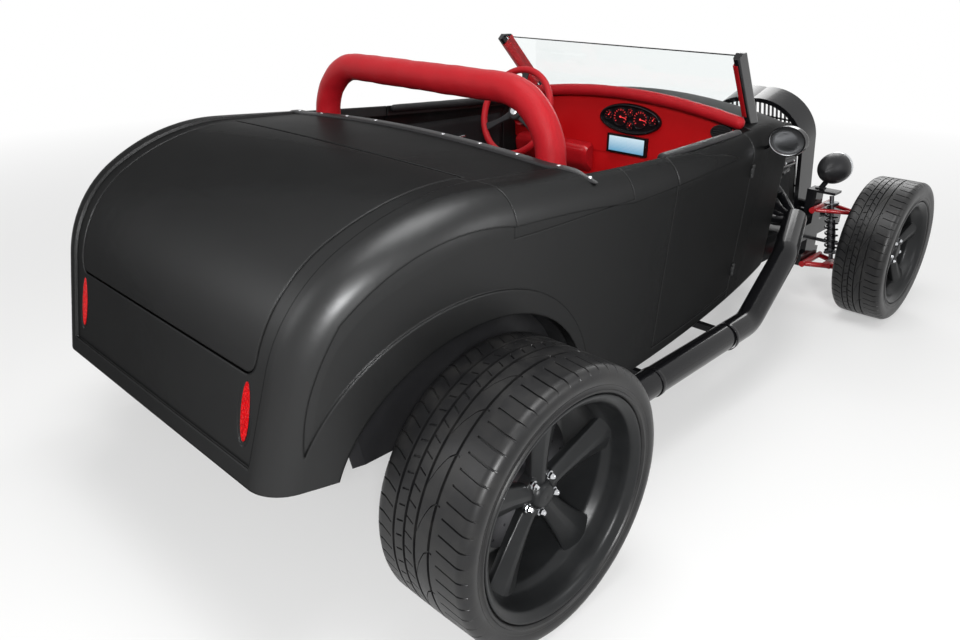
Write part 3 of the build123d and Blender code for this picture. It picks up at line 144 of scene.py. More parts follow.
# %% One material
class Finish:
    """One procedural material around a Principled shader; what is the same all over sits on its sockets."""

    def __init__(self, name, color, roughness, metallic=0.0, **constants):
        self.material = bpy.data.materials.new(name)
        self.material.use_nodes = True
        self.tree = self.material.node_tree
        self.shader = self.tree.nodes["Principled BSDF"]
        self.shader.inputs["Base Color"].default_value = (*color, 1.0)
        self.shader.inputs["Roughness"].default_value = roughness
        self.shader.inputs["Metallic"].default_value = metallic
        for key, value in constants.items():
            self.shader.inputs[key.replace("_", " ")].default_value = value
        self.color = color

    def node(self, kind, settings=None, inputs=None, output=0):
        """Add a node of that kind, set its properties and inputs, and give one output as a Sock."""
        made = self.tree.nodes.new("ShaderNode" + kind)
        for key, value in (settings or {}).items():
            setattr(made, key, value)
        for key, value in (inputs or {}).items():
            if isinstance(value, Sock):
                self.tree.links.new(value.socket, made.inputs[key])
            else:
                made.inputs[key].default_value = value
        return Sock(self.tree, made.outputs[output])

    def place(self, scale=(1, 1, 1)):
        """Object coordinates in metres, scaled per axis."""
        where = self.node("TexCoord", output=3)
        return self.node("VectorMath", {"operation": "MULTIPLY"}, {0: where, 1: scale})

    def axis(self, name):
        """One object coordinate in metres."""
        return self.node("SeparateXYZ", None, {0: self.place()}, "XYZ".index(name))

    def noise(self, size, detail=3.0, scale=(1, 1, 1)):
        """Noise from 0 to 1 whose blotches are about size metres across."""
        return self.node("TexNoise", None, {"Vector": self.place(scale), "Scale": 1.0 / size,
                                            "Detail": detail})

    def cells(self, per_metre, **settings):
        """Voronoi cells, that many to the metre."""
        return self.node("TexVoronoi", settings, {"Vector": self.place(), "Scale": per_metre})

    def bands(self, per_metre, direction):
        """Wave bands across one axis."""
        return self.node("TexWave", {"bands_direction": direction},
                         {"Vector": self.place(), "Scale": per_metre})

    def mix(self, mask, one, other):
        """Colour that goes from one to the other with a mask."""
        return self.node("Mix", {"data_type": "RGBA"}, {0: mask, 6: (*one, 1.0), 7: (*other, 1.0)}, 2)

    def link(self, sock, name):
        self.tree.links.new(sock.socket, self.shader.inputs[name])

    def tint(self, mask, other):
        """Mix the base colour towards another one by a mask."""
        self.link(self.mix(mask, self.color, other), "Base Color")

    def rough(self, mask, low, high):
        """Roughness runs from low to high with a mask."""
        self.link(mask * (high - low) + low, "Roughness")

    def bump(self, height, distance, strength=1.0, edge=0.0):
        """Surface relief: height in 0 to 1 times distance in metres, over edges eased by edge metres."""
        inputs = {"Height": height, "Distance": distance, "Strength": strength}
        if edge:
            inputs["Normal"] = self.node("Bevel", {"samples": 4}, {"Radius": edge})
        self.link(self.node("Bump", None, inputs), "Normal")
        return self.material


print("Finish gives", [name for name in vars(Finish) if not name.startswith("_")])

# %% [markdown]
# ## Paints and plastics
# The body is charcoal satin, the frame and the engine are gloss black, and the arms and the column are
# red. A plain colour would do from afar. Close up real paint has fleck, wiping marks and orange peel, so
# each finish adds its own at its true scale. The satin paint is mostly metal under a dark tint, because
# that keeps the pale surroundings out of it while the key lamp still draws the shoulder.

# %% Paints and plastics
def satin_paint():
    """Charcoal satin paint: fine metallic fleck, faint wiping marks in the gloss, eased panel edges."""
    f = Finish("charcoal_satin", (0.052, 0.0525, 0.053), 0.38, 0.90, Specular_IOR_Level=0.16,
               Specular_Tint=(0.26, 0.26, 0.26, 1.0))
    f.tint(ramp(f.cells(2600.0), 0.10, 0.75), (0.036, 0.0363, 0.0366))
    f.rough(f.noise(0.11, 4.0), 0.34, 0.41)
    return f.bump(f.noise(0.0016, 1.0), 0.00004, 0.5, 0.007)


def gloss_paint(name, color, rough=0.12, edge=0.002):
    """Smooth gloss paint with a clear coat and slight orange peel."""
    f = Finish(name, color, rough, Coat_Weight=0.15, Coat_Roughness=0.05, Specular_IOR_Level=0.2)
    f.tint(f.noise(0.06, 3.0), shade(color, 0.72))
    f.rough(f.noise(0.03, 3.0), rough, rough + 0.1)
    return f.bump(f.noise(0.003, 1.0), 0.00005, 0.6, edge)


def powder_coat(name, color=(0.013, 0.013, 0.014), rough=0.42, edge=0.002):
    """Powder coat: fine pebble and patchy sheen."""
    f = Finish(name, color, rough, 0.2, Specular_IOR_Level=0.22)
    f.tint(f.noise(0.05, 4.0), shade(color, 1.7))
    f.rough(f.noise(0.02, 3.0), rough - 0.08, rough + 0.08)
    return f.bump(f.noise(0.0012, 1.0), 0.00008, 0.6, edge)


def lamp_plastic():
    """Red lens moulded in small square reflecting facets. It glows faintly red all over and brightly at
    scattered spots: painted light and painted glints.
    """
    f = Finish("lamp_lens", (0.42, 0.0, 0.002), 0.25, Specular_IOR_Level=0.02, Emission_Strength=0.35)
    facets = f.cells(130.0, distance="CHEBYCHEV")
    # scattered spots where the emission turns bright: painted glints
    painted_glint = ramp(f.noise(0.004, 1.0), 0.56, 0.66)
    f.tint(ramp(facets, 0.25, 0.75), (0.20, 0.0, 0.001))
    # the emission is painted light: a faint red glow over the whole lens, bright at the painted glints
    f.link(f.mix(painted_glint, (0.30, 0.0, 0.002), (1.0, 0.05, 0.05)), "Emission Color")
    f.rough(facets, 0.15, 0.35)
    return f.bump(facets, 0.002, 0.8)


def pane():
    """Clear glass with a faint smear in its gloss."""
    f = Finish("pane_glass", (0.95, 0.985, 0.98), 0.0, Transmission_Weight=1.0, IOR=1.25)
    smear = f.noise(0.12, 4.0, scale=(1, 1, 3))
    f.tint(ramp(smear, 0.55, 0.9), (0.90, 0.95, 0.94))
    f.rough(smear, 0.0, 0.02)
    return f.bump(smear, 0.00001, 0.2)


print("paints: satin, gloss, powder coat; plastics: lens and pane")

# %% [markdown]
# ## Hide, rubber, metal and pile
# Padding is leather, tyres are rubber and the floor is short pile. Each could be a photo pressed on, but
# a picture blurs close up and needs a layout on every piece. Noise and cells worked out from the place
# on the piece stay sharp and need none.

# %% Hide, rubber, metal and pile
def hide(name, color, grain=0.0026, dark=0.5):
    """Leather: pebbled grain with painted shade darkening its creases, and worn, shinier high spots."""
    f = Finish(name, color, 0.5, Specular_IOR_Level=0.16)
    pebble = ramp(f.cells(1.0 / grain, feature="DISTANCE_TO_EDGE"), 0.0, 0.22)
    patches = f.noise(0.09, 4.0)
    # the creases of the grain get the darker colour as painted shade; the noise patches darken it at random
    f.tint((1.0 - pebble) * 0.45 + patches * 0.4, shade(color, dark))
    f.rough(patches, 0.38, 0.54)
    return f.bump(pebble * 0.8 + f.noise(0.012, 3.0) * 0.5, 0.00030, 0.7)


def rubber():
    """Tyre rubber, dressed for a show: dull black with shinier patches and fine mould texture."""
    f = Finish("tyre_rubber", (0.0075, 0.0075, 0.008), 0.27, Specular_IOR_Level=0.34)
    dust = f.noise(0.05, 5.0)
    f.tint(ramp(dust, 0.45, 0.8), (0.016, 0.0155, 0.015))
    f.rough(dust, 0.27, 0.51)
    return f.bump(f.noise(0.0011, 2.0), 0.00010, 0.6)


def metal(name, color, rough, edge=0.0):
    """Bare or plated metal with fine directional marks."""
    f = Finish(name, color, rough, 1.0)
    marks = f.noise(0.004, 4.0, scale=(1, 1, 9))
    f.tint(marks, shade(color, 0.75))
    f.rough(marks, rough, rough + 0.12)
    return f.bump(marks, 0.00004, 0.5, edge)


def pile():
    """Short dark pile: tufts a few millimetres across, each with its own tone; the hollows between them are
    darker, as painted shade.
    """
    f = Finish("floor_pile", (0.010, 0.010, 0.011), 0.95, Sheen_Weight=0.3)
    tuft = f.noise(0.0022, 3.0)
    # the same noise raises the tufts and lightens them, so the low places are darker: painted shade
    f.tint(tuft, (0.026, 0.026, 0.028))
    f.rough(tuft, 0.85, 1.0)
    return f.bump(tuft, 0.0018, 0.9)


def cooling_core():
    """Radiator core: rows of thin fins between flat tubes."""
    f = Finish("cooling_core", (0.05, 0.05, 0.052), 0.45, 0.7)
    rows, fins = f.bands(60.0, "Z"), f.bands(260.0, "X")
    f.tint(rows, (0.012, 0.012, 0.012))
    f.rough(fins, 0.35, 0.6)
    return f.bump(rows * 0.7 + fins * 0.3, 0.002, 0.8)


SCREEN_LOW, SCREEN_HIGH = 0.866, 0.926


def lit_screen():
    """Lit display: pale blue fading to white at the top, with faint lines."""
    f = Finish("lit_screen", (0.02, 0.03, 0.04), 0.15, Coat_Weight=1.0, Emission_Strength=0.9)
    height = ramp(f.axis("Z"), SCREEN_LOW + 0.002, SCREEN_HIGH)
    lines = f.bands(60.0, "Z")
    f.link(f.mix(height * 0.85 + lines * 0.15, (0.10, 0.38, 0.62), (0.75, 0.92, 1.0)), "Emission Color")
    f.rough(lines, 0.10, 0.2)
    return f.material


print("hide, rubber, metal, pile, core and screen")

# %% [markdown]
# ## Dress the CAD pieces
# Most CAD pieces already have their final shape and only need a finish, so a table says which piece
# wears which. The pieces that new surfaces replace further down are in it too, in case one is shown.

# %% Finishes and who wears them
SIDES = {"left": 1, "right": -1}
FINISH = {
    "charcoal": satin_paint(),
    "black_gloss": gloss_paint("black_gloss", (0.006, 0.006, 0.007)),
    "red_gloss": gloss_paint("red_gloss", (0.36, 0.008, 0.012)),
    "black_satin": powder_coat("black_satin"),
    "rim": powder_coat("rim_satin", (0.010, 0.0105, 0.011), 0.34, 0.0015),
    "red_hide": hide("red_hide", (0.40, 0.008, 0.014)),
    "dash_red": hide("dash_red", (0.44, 0.004, 0.006), 0.0018, 0.7),
    "black_hide": hide("black_hide", (0.014, 0.014, 0.015)),
    "rubber": rubber(),
    "steel": metal("dark_steel", (0.18, 0.18, 0.19), 0.34, 0.002),
    "caliper_red": gloss_paint("caliper_red", (0.72, 0.012, 0.020), 0.25),
    "chrome": metal("chrome", (0.62, 0.63, 0.65), 0.09),
    "lamp": lamp_plastic(),
    "glass": pane(),
    "pile": pile(),
    "core": cooling_core(),
    "screen": lit_screen(),
}
CORNER_NAMES = [f"{axle}_{side_name}" for axle in ("rear", "front") for side_name in SIDES]
WEARS = {
    "charcoal": ["body_tub", "cowl", "top_panel", "deck_lid", "door_left", "door_right"],
    "black_gloss": ["frame_rails", "crossmembers", "engine_block", "engine_top", "exhausts",
                    "grille_shell", "grille_bars", "mirrors", "instruments", "windshield_posts"],
    "red_gloss": ["front_arms", "steering_column"],
    "black_satin": ["headlights", "wheel_tubs", "rear_axle", "fuel_tank", "floor_pan"],
    "rim": [f"rim_{name}" for name in CORNER_NAMES],
    "dash_red": ["dash"],
    "red_hide": ["dash_pad", "seat", "seat_back", "roll_bar", "steering_wheel"],
    "black_hide": ["door_card_left", "door_card_right"],
    "rubber": [f"tyre_{name}" for name in CORNER_NAMES],
    "steel": ["coilovers", "steering_rack", "tie_rods", "gearbox", "knuckle_left", "knuckle_right"],
    "lamp": ["tail_lamps"],
    "glass": ["windshield_glass"],
    "core": ["radiator"],
}
for key, names in WEARS.items():
    for name in names:
        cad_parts[name].data.materials.clear()
        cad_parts[name].data.materials.append(FINISH[key])
print("finishes", len(FINISH), "bare", set(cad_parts) - set(sum(WEARS.values(), [])))

# %% [markdown]
# ## Floor and light
# A plain pale floor under large soft lamps. Light Path lets the camera, and what mirrors or glass show,
# see the surroundings as plain white, while the light that falls on the car stays at its plain level.
# Near the car the floor keeps more than half of its real shading, so the shadow stays.

# %% Floor
def seen(tree):
    """1 for rays that show the surroundings: from the camera, off gloss and through glass."""
    path = tree.nodes.new("ShaderNodeLightPath")
    kinds = [Sock(tree, path.outputs[f"Is {kind} Ray"]) for kind in ("Camera", "Glossy", "Transmission")]
    return kinds[0].math("MAXIMUM", kinds[1]).math("MAXIMUM", kinds[2])


def stage_finish():
    """Pale floor that fades to plain white: share of white = 0.4 + 0.6 * ramp(distance from the car)."""
    f = Finish("stage_pale", (0.72, 0.72, 0.715), 0.8)
    f.rough(f.noise(0.5, 3.0), 0.75, 0.85)
    distance = f.node("VectorMath", {"operation": "LENGTH"}, {0: f.place()}, 1)
    white = f.node("Emission", None, {"Color": (1, 1, 1, 1), "Strength": 1.0})
    share = seen(f.tree) * (ramp(distance, 2.4, 7.0) * 0.6 + 0.4)
    real = Sock(f.tree, f.shader.outputs[0])
    mixed = f.node("MixShader", None, {0: share, 1: real, 2: white})
    f.tree.links.new(mixed.socket, f.tree.nodes["Material Output"].inputs[0])
    return f.material


FLOOR_HALF = 60
corners = [(x * FLOOR_HALF, y * FLOOR_HALF, 0) for x, y in ((-1, -1), (1, -1), (1, 1), (-1, 1))]
floor_mesh = bpy.data.meshes.new("floor")
floor_mesh.from_pydata(corners, [], [(0, 1, 2, 3)])
floor = bpy.data.objects.new("floor", floor_mesh)
floor.data.materials.append(stage_finish())
bpy.context.scene.collection.objects.link(floor)
print("floor", 2 * FLOOR_HALF, "m wide")


# %% Lamps and sky
def lamp(name, where, at, size, power):
    """Square area lamp at a place, turned to a point."""
    light = bpy.data.lights.new(name, "AREA")
    light.size, light.energy = size, power
    made = bpy.data.objects.new(name, light)
    made.location = where
    made.rotation_euler = (Vector(at) - Vector(where)).to_track_quat("-Z", "Y").to_euler()
    bpy.context.scene.collection.objects.link(made)


lamp("lamp_top", (-0.6, 1.0, 4.6), (0, 0.4, 0.6), 2.2, 120)
lamp("lamp_key", (-3.9, 4.4, 3.0), (-0.3, 1.0, 0.7), 0.9, 290)
lamp("lamp_side", (-4.6, -0.9, 2.7), (0, 0.0, 0.6), 1.8, 50)
lamp("lamp_tail", (2.4, 5.2, 3.2), (0, 1.0, 0.7), 2.0, 45)
lamp("lamp_front", (1.5, -5.5, 3.4), (0, -0.8, 0.6), 2.6, 90)
SKY_LIGHT, SKY_SEEN = 0.30, 1.0
world = bpy.data.worlds.new("sky")
world.use_nodes = True
bpy.context.scene.world = world
sky = world.node_tree
background = sky.nodes["Background"]
background.inputs[0].default_value = (1, 1, 1, 1)
sky.links.new((seen(sky) * (SKY_SEEN - SKY_LIGHT) + SKY_LIGHT).socket, background.inputs[1])
bpy.context.scene.view_settings.view_transform = "Standard"

# %% [markdown]
# ## Mesh tools
# Every new piece is a surface worked out with numpy. A shape is a grid of points over two parameters,
# such as along a path and round a section, computed as whole arrays. Boxes and spheres from a menu
# would be quicker, but they have no eased corners and none of the curves of the real parts.

# %% Grids
def grid(points, wrap_u=False, wrap_v=False):
    """Quads over an (m, n, 3) array of points; a wrapped direction closes on itself."""
    m, n = points.shape[:2]
    u, v = np.meshgrid(np.arange(m if wrap_u else m - 1), np.arange(n if wrap_v else n - 1), indexing="ij")
    a, b = u * n + v, ((u + 1) % m) * n + v
    c, d = ((u + 1) % m) * n + (v + 1) % n, u * n + (v + 1) % n
    return points.reshape(-1, 3), np.stack([a, b, c, d], axis=-1).reshape(-1, 4)


def capped(points):
    """Tube of sections whose first and last rows are drawn together at their middles, so it is closed."""
    ends = [np.broadcast_to(points[i].mean(axis=0), points[i].shape)[None] for i in (0, -1)]
    return grid(np.concatenate([ends[0], points, ends[1]]), wrap_v=True)


def outward(part):
    """Faces turned so that the volume, the sum of a . (b x c) / 6 over the triangles, is positive."""
    points, faces = part
    p = points[faces] - points.mean(axis=0)
    volume = (np.cross(p[:, 0], p[:, 1]) * p[:, 2]).sum() + (np.cross(p[:, 0], p[:, 2]) * p[:, 3]).sum()
    return (points, faces[:, ::-1]) if volume < 0 else part


def eased(outline, radius):
    """Each corner becomes the start, middle and end of a small parabola that reaches radius back."""
    p = np.asarray(outline, float)
    cuts = []
    for other in (np.roll(p, 1, axis=0), np.roll(p, -1, axis=0)):
        length = np.linalg.norm(other - p, axis=1, keepdims=True)
        cuts.append(p + (other - p) * np.minimum(radius, 0.45 * length) / length)
    rows = np.stack([cuts[0], (cuts[0] + 2 * p + cuts[1]) / 4, cuts[1]], axis=1)
    return rows.reshape(-1, p.shape[1])


def turned(part, axis, degrees, centre=(0, 0, 0)):
    """The part turned about an axis of the frame through a centre."""
    turn = np.array(Matrix.Rotation(math.radians(degrees), 3, axis))
    return (part[0] - centre) @ turn.T + centre, part[1]


def sided(part, side):
    """The part for that side of the car: 1 keeps it, -1 mirrors it over x."""
    return part if side > 0 else (part[0] * (-1, 1, 1), part[1][:, ::-1])


print("a 3 by 4 grid, closed both ways, has", len(grid(np.zeros((3, 4, 3)), True, True)[1]), "faces")


# %% Rings and tubes
def around(count):
    """That many angles round a circle."""
    return np.linspace(0, 2 * math.pi, count, endpoint=False)


def spin(profile, origin, axis="X", turns=96):
    """Ring surface: each (along, radius) pair of the profile carried round an axis through origin."""
    profile = np.asarray(profile, float)
    angle = around(turns)[None]
    along = profile[:, :1] + 0 * angle
    c, s = profile[:, 1:] * np.cos(angle), profile[:, 1:] * np.sin(angle)
    order = {"X": (along, c, s), "Y": (s, along, c), "Z": (c, s, along)}[axis]
    return grid(np.stack(order, axis=-1) + np.asarray(origin, float), True, True)


def bent(points, radius, steps=10):
    """Path with round corners: each inner corner becomes an arc of that radius."""
    p = np.asarray(points, float)
    rows = [p[:1]]
    for before, at, after in zip(p, p[1:], p[2:]):
        into, out = before - at, after - at
        into, out = into / np.linalg.norm(into), out / np.linalg.norm(out)
        half = math.acos(float(into @ out)) / 2
        middle = (into + out) / np.linalg.norm(into + out)
        centre = at + middle * radius / math.sin(half)
        ends = [at + v * radius / math.tan(half) - centre for v in (into, out)]
        share = np.linspace(0, 1, steps)[:, None]
        sweep = math.pi - 2 * half
        rows.append(centre + (np.sin((1 - share) * sweep) * ends[0] + np.sin(share * sweep) * ends[1])
                    / math.sin(sweep))
    return np.concatenate(rows + [p[-1:]])


def evened(path, step):
    """The same path in equal steps of about step metres, and how far along each point is."""
    run = np.concatenate([[0], np.cumsum(np.linalg.norm(np.diff(path, axis=0), axis=1))])
    at = np.linspace(0, run[-1], max(2, int(run[-1] / step)))
    return np.stack([np.interp(at, run, path[:, i]) for i in range(3)], axis=1), at


def directions(path, up):
    """At each point of a path: its unit tangent, the tangent x up, and the third way."""
    along = np.gradient(path, axis=0)
    along /= np.linalg.norm(along, axis=1, keepdims=True)
    side = np.cross(along, up)
    side /= np.linalg.norm(side, axis=1, keepdims=True)
    return along, side, np.cross(side, along)


DOME_ROWS = 5


def tube(path, radius, sides=20, up=(0, 0, 1), bulge=1.0, section=None):
    """Section carried along a path: centre + r (cos a * side + sin a * top).

    Each end is closed by a dome that reaches bulge times the radius."""
    path = np.asarray(path, float)
    radius = np.broadcast_to(np.asarray(radius, float), len(path))
    along, side, top = directions(path, up)
    q = np.radians(np.linspace(90, 0, DOME_ROWS + 1))[:-1]
    path = np.concatenate([path[0] - np.outer(np.sin(q), along[0]) * bulge * radius[0], path,
                           path[-1] + np.outer(np.sin(q[::-1]), along[-1]) * bulge * radius[-1]])
    radius = np.concatenate([np.cos(q) * radius[0], radius, np.cos(q[::-1]) * radius[-1]])
    side, top = [np.concatenate([np.repeat(v[:1], DOME_ROWS, 0), v, np.repeat(v[-1:], DOME_ROWS, 0)])
                 for v in (side, top)]
    if section is None:
        section = np.stack([np.cos(around(sides)), np.sin(around(sides))], axis=1)
    c, s = section[:, 0][None, :, None], section[:, 1][None, :, None]
    return grid(path[:, None] + radius[:, None, None] * (c * side[:, None] + s * top[:, None]), wrap_v=True)


def block(low, high, ease=0.004):
    """Box with eased edges: an eased square section along x, whose ends shrink by ease."""
    (x0, y0, z0), (x1, y1, z1) = low, high
    rows = []
    for x, back in ((x0, ease), (x0 + ease * 0.4, ease * 0.4), (x0 + ease, 0),
                    (x1 - ease, 0), (x1 - ease * 0.4, ease * 0.4), (x1, ease)):
        ring = eased([(y0 + back, z0 + back), (y1 - back, z0 + back), (y1 - back, z1 - back),
                      (y0 + back, z1 - back)], ease)
        rows.append(np.column_stack([np.full(len(ring), x), ring]))
    return capped(np.stack(rows))


print("an eased block has", len(block((0, 0, 0), (1, 1, 1))[1]), "faces")


# %% One object from its parts
PIECES = {}
WELD, SLIVER = 2e-6, 1e-7


def piece(name, parts, finish, body, stands_for=(), crease=38, side=1):
    """Weld parts, for one side of the car, into one mesh that rides on a body.

    It is smooth but for edges sharper than crease degrees."""
    parts = [outward(sided(p, side)) for p in parts]
    starts = np.cumsum([0] + [len(p) for p, _ in parts[:-1]])
    points = np.concatenate([p for p, _ in parts]).astype(np.float32)
    faces = np.concatenate([f + s for (_, f), s in zip(parts, starts)]).astype(np.int32)
    mesh = bpy.data.meshes.new(name)
    mesh.vertices.add(len(points))
    mesh.vertices.foreach_set("co", points.ravel())
    mesh.loops.add(faces.size)
    mesh.loops.foreach_set("vertex_index", faces.ravel())
    mesh.polygons.add(len(faces))
    mesh.polygons.foreach_set("loop_start", np.arange(0, faces.size, 4, dtype=np.int32))
    mesh.update(calc_edges=True)
    welded = bmesh.new()
    welded.from_mesh(mesh)
    bmesh.ops.remove_doubles(welded, verts=welded.verts, dist=WELD)
    bmesh.ops.dissolve_degenerate(welded, edges=welded.edges, dist=SLIVER)
    welded.to_mesh(mesh)
    welded.free()
    mesh.polygons.foreach_set("use_smooth", np.ones(len(mesh.polygons), bool))
    mesh.set_sharp_from_angle(angle=math.radians(crease))
    made = bpy.data.objects.new(name, mesh)
    bpy.context.scene.collection.objects.link(made)
    made.data.materials.append(FINISH[finish])
    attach(made, body)
    if stands_for:
        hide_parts(*stands_for)
    PIECES[name] = made
    return made


def triangles(ob):
    """Triangles of a mesh: corners less two, over its faces."""
    return len(ob.data.loops) - 2 * len(ob.data.polygons)


def read(items, name, width=3, kind=np.float32):
    """One attribute of all vertices or faces, as an array with width columns."""
    flat = np.zeros(len(items) * width, kind)
    items.foreach_get(name, flat)
    return flat.reshape(-1, width)


print("points weld within", WELD, "m")

# %% [markdown]
# ## Tyres
# A road tyre is a ring whose tread has four grooves round it and short cuts across its ribs. A picture
# pressed on as bump would look flat at the edge of the wheel, so the cuts are real: the grid's rows lie
# on the groove edges and its columns on the edges of the cuts, and slant with them.

# %% Sizes of the wheels
WHEELS = {
    "rear": dict(y=0.0, radius=0.368, lip=0.297, seat=0.279, face=0.958, width=0.287, dish=0.088,
                 hub_r=0.078, disc_r=0.180, disc_x=0.784, pitches=60, caliper=35),
    "front": dict(y=-2.692, radius=0.333, lip=0.246, seat=0.228, face=0.858, width=0.214, dish=0.052,
                  hub_r=0.072, disc_r=0.150, disc_x=0.722, pitches=57, caliper=0),
}
CORNERS = [(f"{axle}_{side_name}", WHEELS[axle], side)
           for axle in WHEELS for side_name, side in SIDES.items()]


def middle_of(w):
    """Centre of a wheel, on the middle plane of the car."""
    return (0, w["y"] + SHIFT, w["radius"])


def hub_face(w):
    """How far out the hub stands."""
    return w["face"] - w["dish"] - 0.006


for axle, w in WHEELS.items():
    print(axle, "tyre", round(2 * w["radius"], 3), "m across,", w["width"], "m wide")

# %% Rows and columns of the tread
# Across the tread, places are shares of its width from its outer edge. Round it, they are shares of a pitch.
GROOVES = np.array([0.34, 0.53, 0.68, 0.83])
GROOVE_HALF, WALL = 0.012, 0.004
GROOVE_DEEP, CUT_DEEP = 0.007, 0.0045
# each cut runs from one row to another, on column set 0, on set 1, or (2) on set 1 of every third pitch
CUTS = [(0.0, 0.24, 0), (0.30, 0.52, 2), (0.57, 0.66, 0), (0.71, 0.79, 1), (0.87, 1.0, 0)]
COLUMNS = np.array([0, 0.03, 0.10, 0.13, 0.32, 0.50, 0.53, 0.60, 0.63, 0.82])
COLUMN_SETS = np.array([[0, 1, 1, 0, 0, 0, 0, 0, 0, 0], [0, 0, 0, 0, 0, 0, 1, 1, 0, 0]])
SLANT_AT = [0, 0.34, 0.40, 0.46, 0.53, 0.68, 0.83, 1.0]
SLANT = [0, 0.012, 0.0, -0.03, -0.085, -0.07, -0.078, -0.06]
NEAR = 1e-4


def tread_rows():
    """Rows across the tread and, for each, its groove depth and which cuts it takes part in."""
    edges = [GROOVES + s * (GROOVE_HALF + w) for s in (1, -1) for w in (0, WALL)]
    ends = [(a, b, a - WALL, b + WALL) for a, b, _ in CUTS]
    u = np.concatenate([np.ravel(edges), np.ravel(ends), np.linspace(0, 1, 8), np.linspace(0.37, 0.50, 5)])
    u = np.unique(np.clip(np.round(u, 4), 0, 1))
    groove = (np.abs(u[:, None] - GROOVES).min(axis=1) <= GROOVE_HALF + NEAR).astype(float)
    taking = np.stack([sum(((u >= a - NEAR) & (u <= b + NEAR)) * (k == i) for a, b, k in CUTS)
                       for i in (0, 1, 2)]).astype(float)
    return u, groove, taking


print("rows across the tread", len(tread_rows()[0]), "columns in a pitch", len(COLUMNS))


# %% Tyre surface
def sidewall(w):
    """(inset, radius) points of a sidewall from the bead to the tread: rim guard, ring marks, shoulder."""
    lip, top = w["lip"], w["radius"]
    tall = top - lip
    return np.array([(0.018, w["seat"]), (0.0155, lip + 0.001), (0.0085, lip + 0.003), (0.0035, lip + 0.006),
                     (0.0015, lip + 0.0085), (0.0015, lip + 0.012), (0.0045, lip + 0.0145),
                     (0.0050, lip + 0.019), (0.0030, lip + 0.024), (0.0036, lip + 0.026),
                     (0.0018, lip + 0.42 * tall), (0.0003, lip + 0.56 * tall), (0.0012, top - 0.024),
                     (0.0042, top - 0.0150), (0.0095, top - 0.0080), (0.0170, top - 0.0032),
                     (0.0250, top - 0.0009)])


SHOULDER_CUTS = [0.15, 0.5, 0.9, 1.0]    # how deep the cuts are on the last points of the sidewall


def tyre(w):
    """Left tyre: (x, r) section over the rows, round the axle over the columns, r less the cut depths."""
    x1, x0, top = w["face"] + 0.006, w["face"] - w["width"] - 0.006, w["radius"]
    wall = sidewall(w)
    u, groove, taking = tread_rows()
    edge = wall[-1, 0] + 0.006
    tread = np.stack([x1 - edge - u * (x1 - x0 - 2 * edge), top - 0.0012 * (2 * u - 1) ** 2], axis=1)
    outer = np.stack([x1 - wall[:, 0], wall[:, 1]], axis=1)
    inner = np.stack([x0 + wall[::-1, 0], wall[::-1, 1]], axis=1)
    section = np.concatenate([outer, tread, inner])
    blank = np.zeros(len(wall))
    shoulder = np.concatenate([np.zeros(len(wall) - len(SHOULDER_CUTS)), SHOULDER_CUTS])
    groove = np.concatenate([blank, groove, blank])
    taking = np.stack([np.concatenate([shoulder, taking[0], shoulder[::-1]]),
                       *[np.concatenate([blank, row, blank]) for row in taking[1:]]])
    slant = np.interp(np.concatenate([blank, u, blank + 1]), SLANT_AT, SLANT) / top
    pitch = np.arange(w["pitches"])
    angle = ((pitch[:, None] + COLUMNS) * 2 * math.pi / w["pitches"]).ravel()
    sets = np.tile(COLUMN_SETS, w["pitches"])
    third = np.repeat(pitch % 3 == 0, len(COLUMNS)) * sets[1]
    cut = (taking.T @ np.vstack([sets, third])).clip(0, 1)
    radius = section[:, 1:] - np.maximum(groove[:, None] * GROOVE_DEEP, cut * CUT_DEEP)
    turn = angle[None] + slant[:, None]
    points = np.stack([np.broadcast_to(section[:, :1], radius.shape), w["y"] + SHIFT + radius * np.cos(turn),
                       top + radius * np.sin(turn)], axis=-1)
    return grid(points, True, True)


for corner, w, side in CORNERS:
    made = piece(f"tread_{corner}", [tyre(w)], "rubber", f"wheel_{corner}",
                 [f"tyre_{corner}"], crease=32, side=side)
    print(made.name, triangles(made), "triangles")

# %% [markdown]
# ## Rims
# The wheels are deep satin black castings: a smooth lip that curves in to a step, and five spokes that
# swoop from a sunk hub out to the barrel, each with a narrow ridge between two leaning flanks. Spokes
# cut out of a disc would be flat, so each is a section carried outwards in polar coordinates, and its
# end follows the barrel exactly.

# %% Barrel and spokes
def barrel(w):
    """Rim section of (x, radius) corners, eased and carried round the axle."""
    lip, seat, face = w["lip"], w["seat"], w["face"]
    inner, step = face - w["width"], face - w["dish"]
    wall, drop = 0.009, 0.026
    profile = [(inner, lip), (inner, seat - wall), (inner + 0.060, seat - drop - wall),
               (step - 0.006, seat - drop - wall), (step + 0.016, seat - 0.020),
               ((step + face) / 2, seat - 0.0135), (face - 0.014, seat - 0.008), (face - 0.004, lip - 0.013),
               (face, lip - 0.006), (face, lip), (face - 0.009, lip), (face - 0.012, seat),
               (step + 0.026, seat), (step - 0.014, seat - drop), (inner + 0.066, seat - drop),
               (inner + 0.040, seat), (inner + 0.012, seat), (inner + 0.009, lip)]
    return spin(eased(profile, 0.006), middle_of(w), turns=144)


SPOKES = 5
SPOKE_ROOT = 0.024


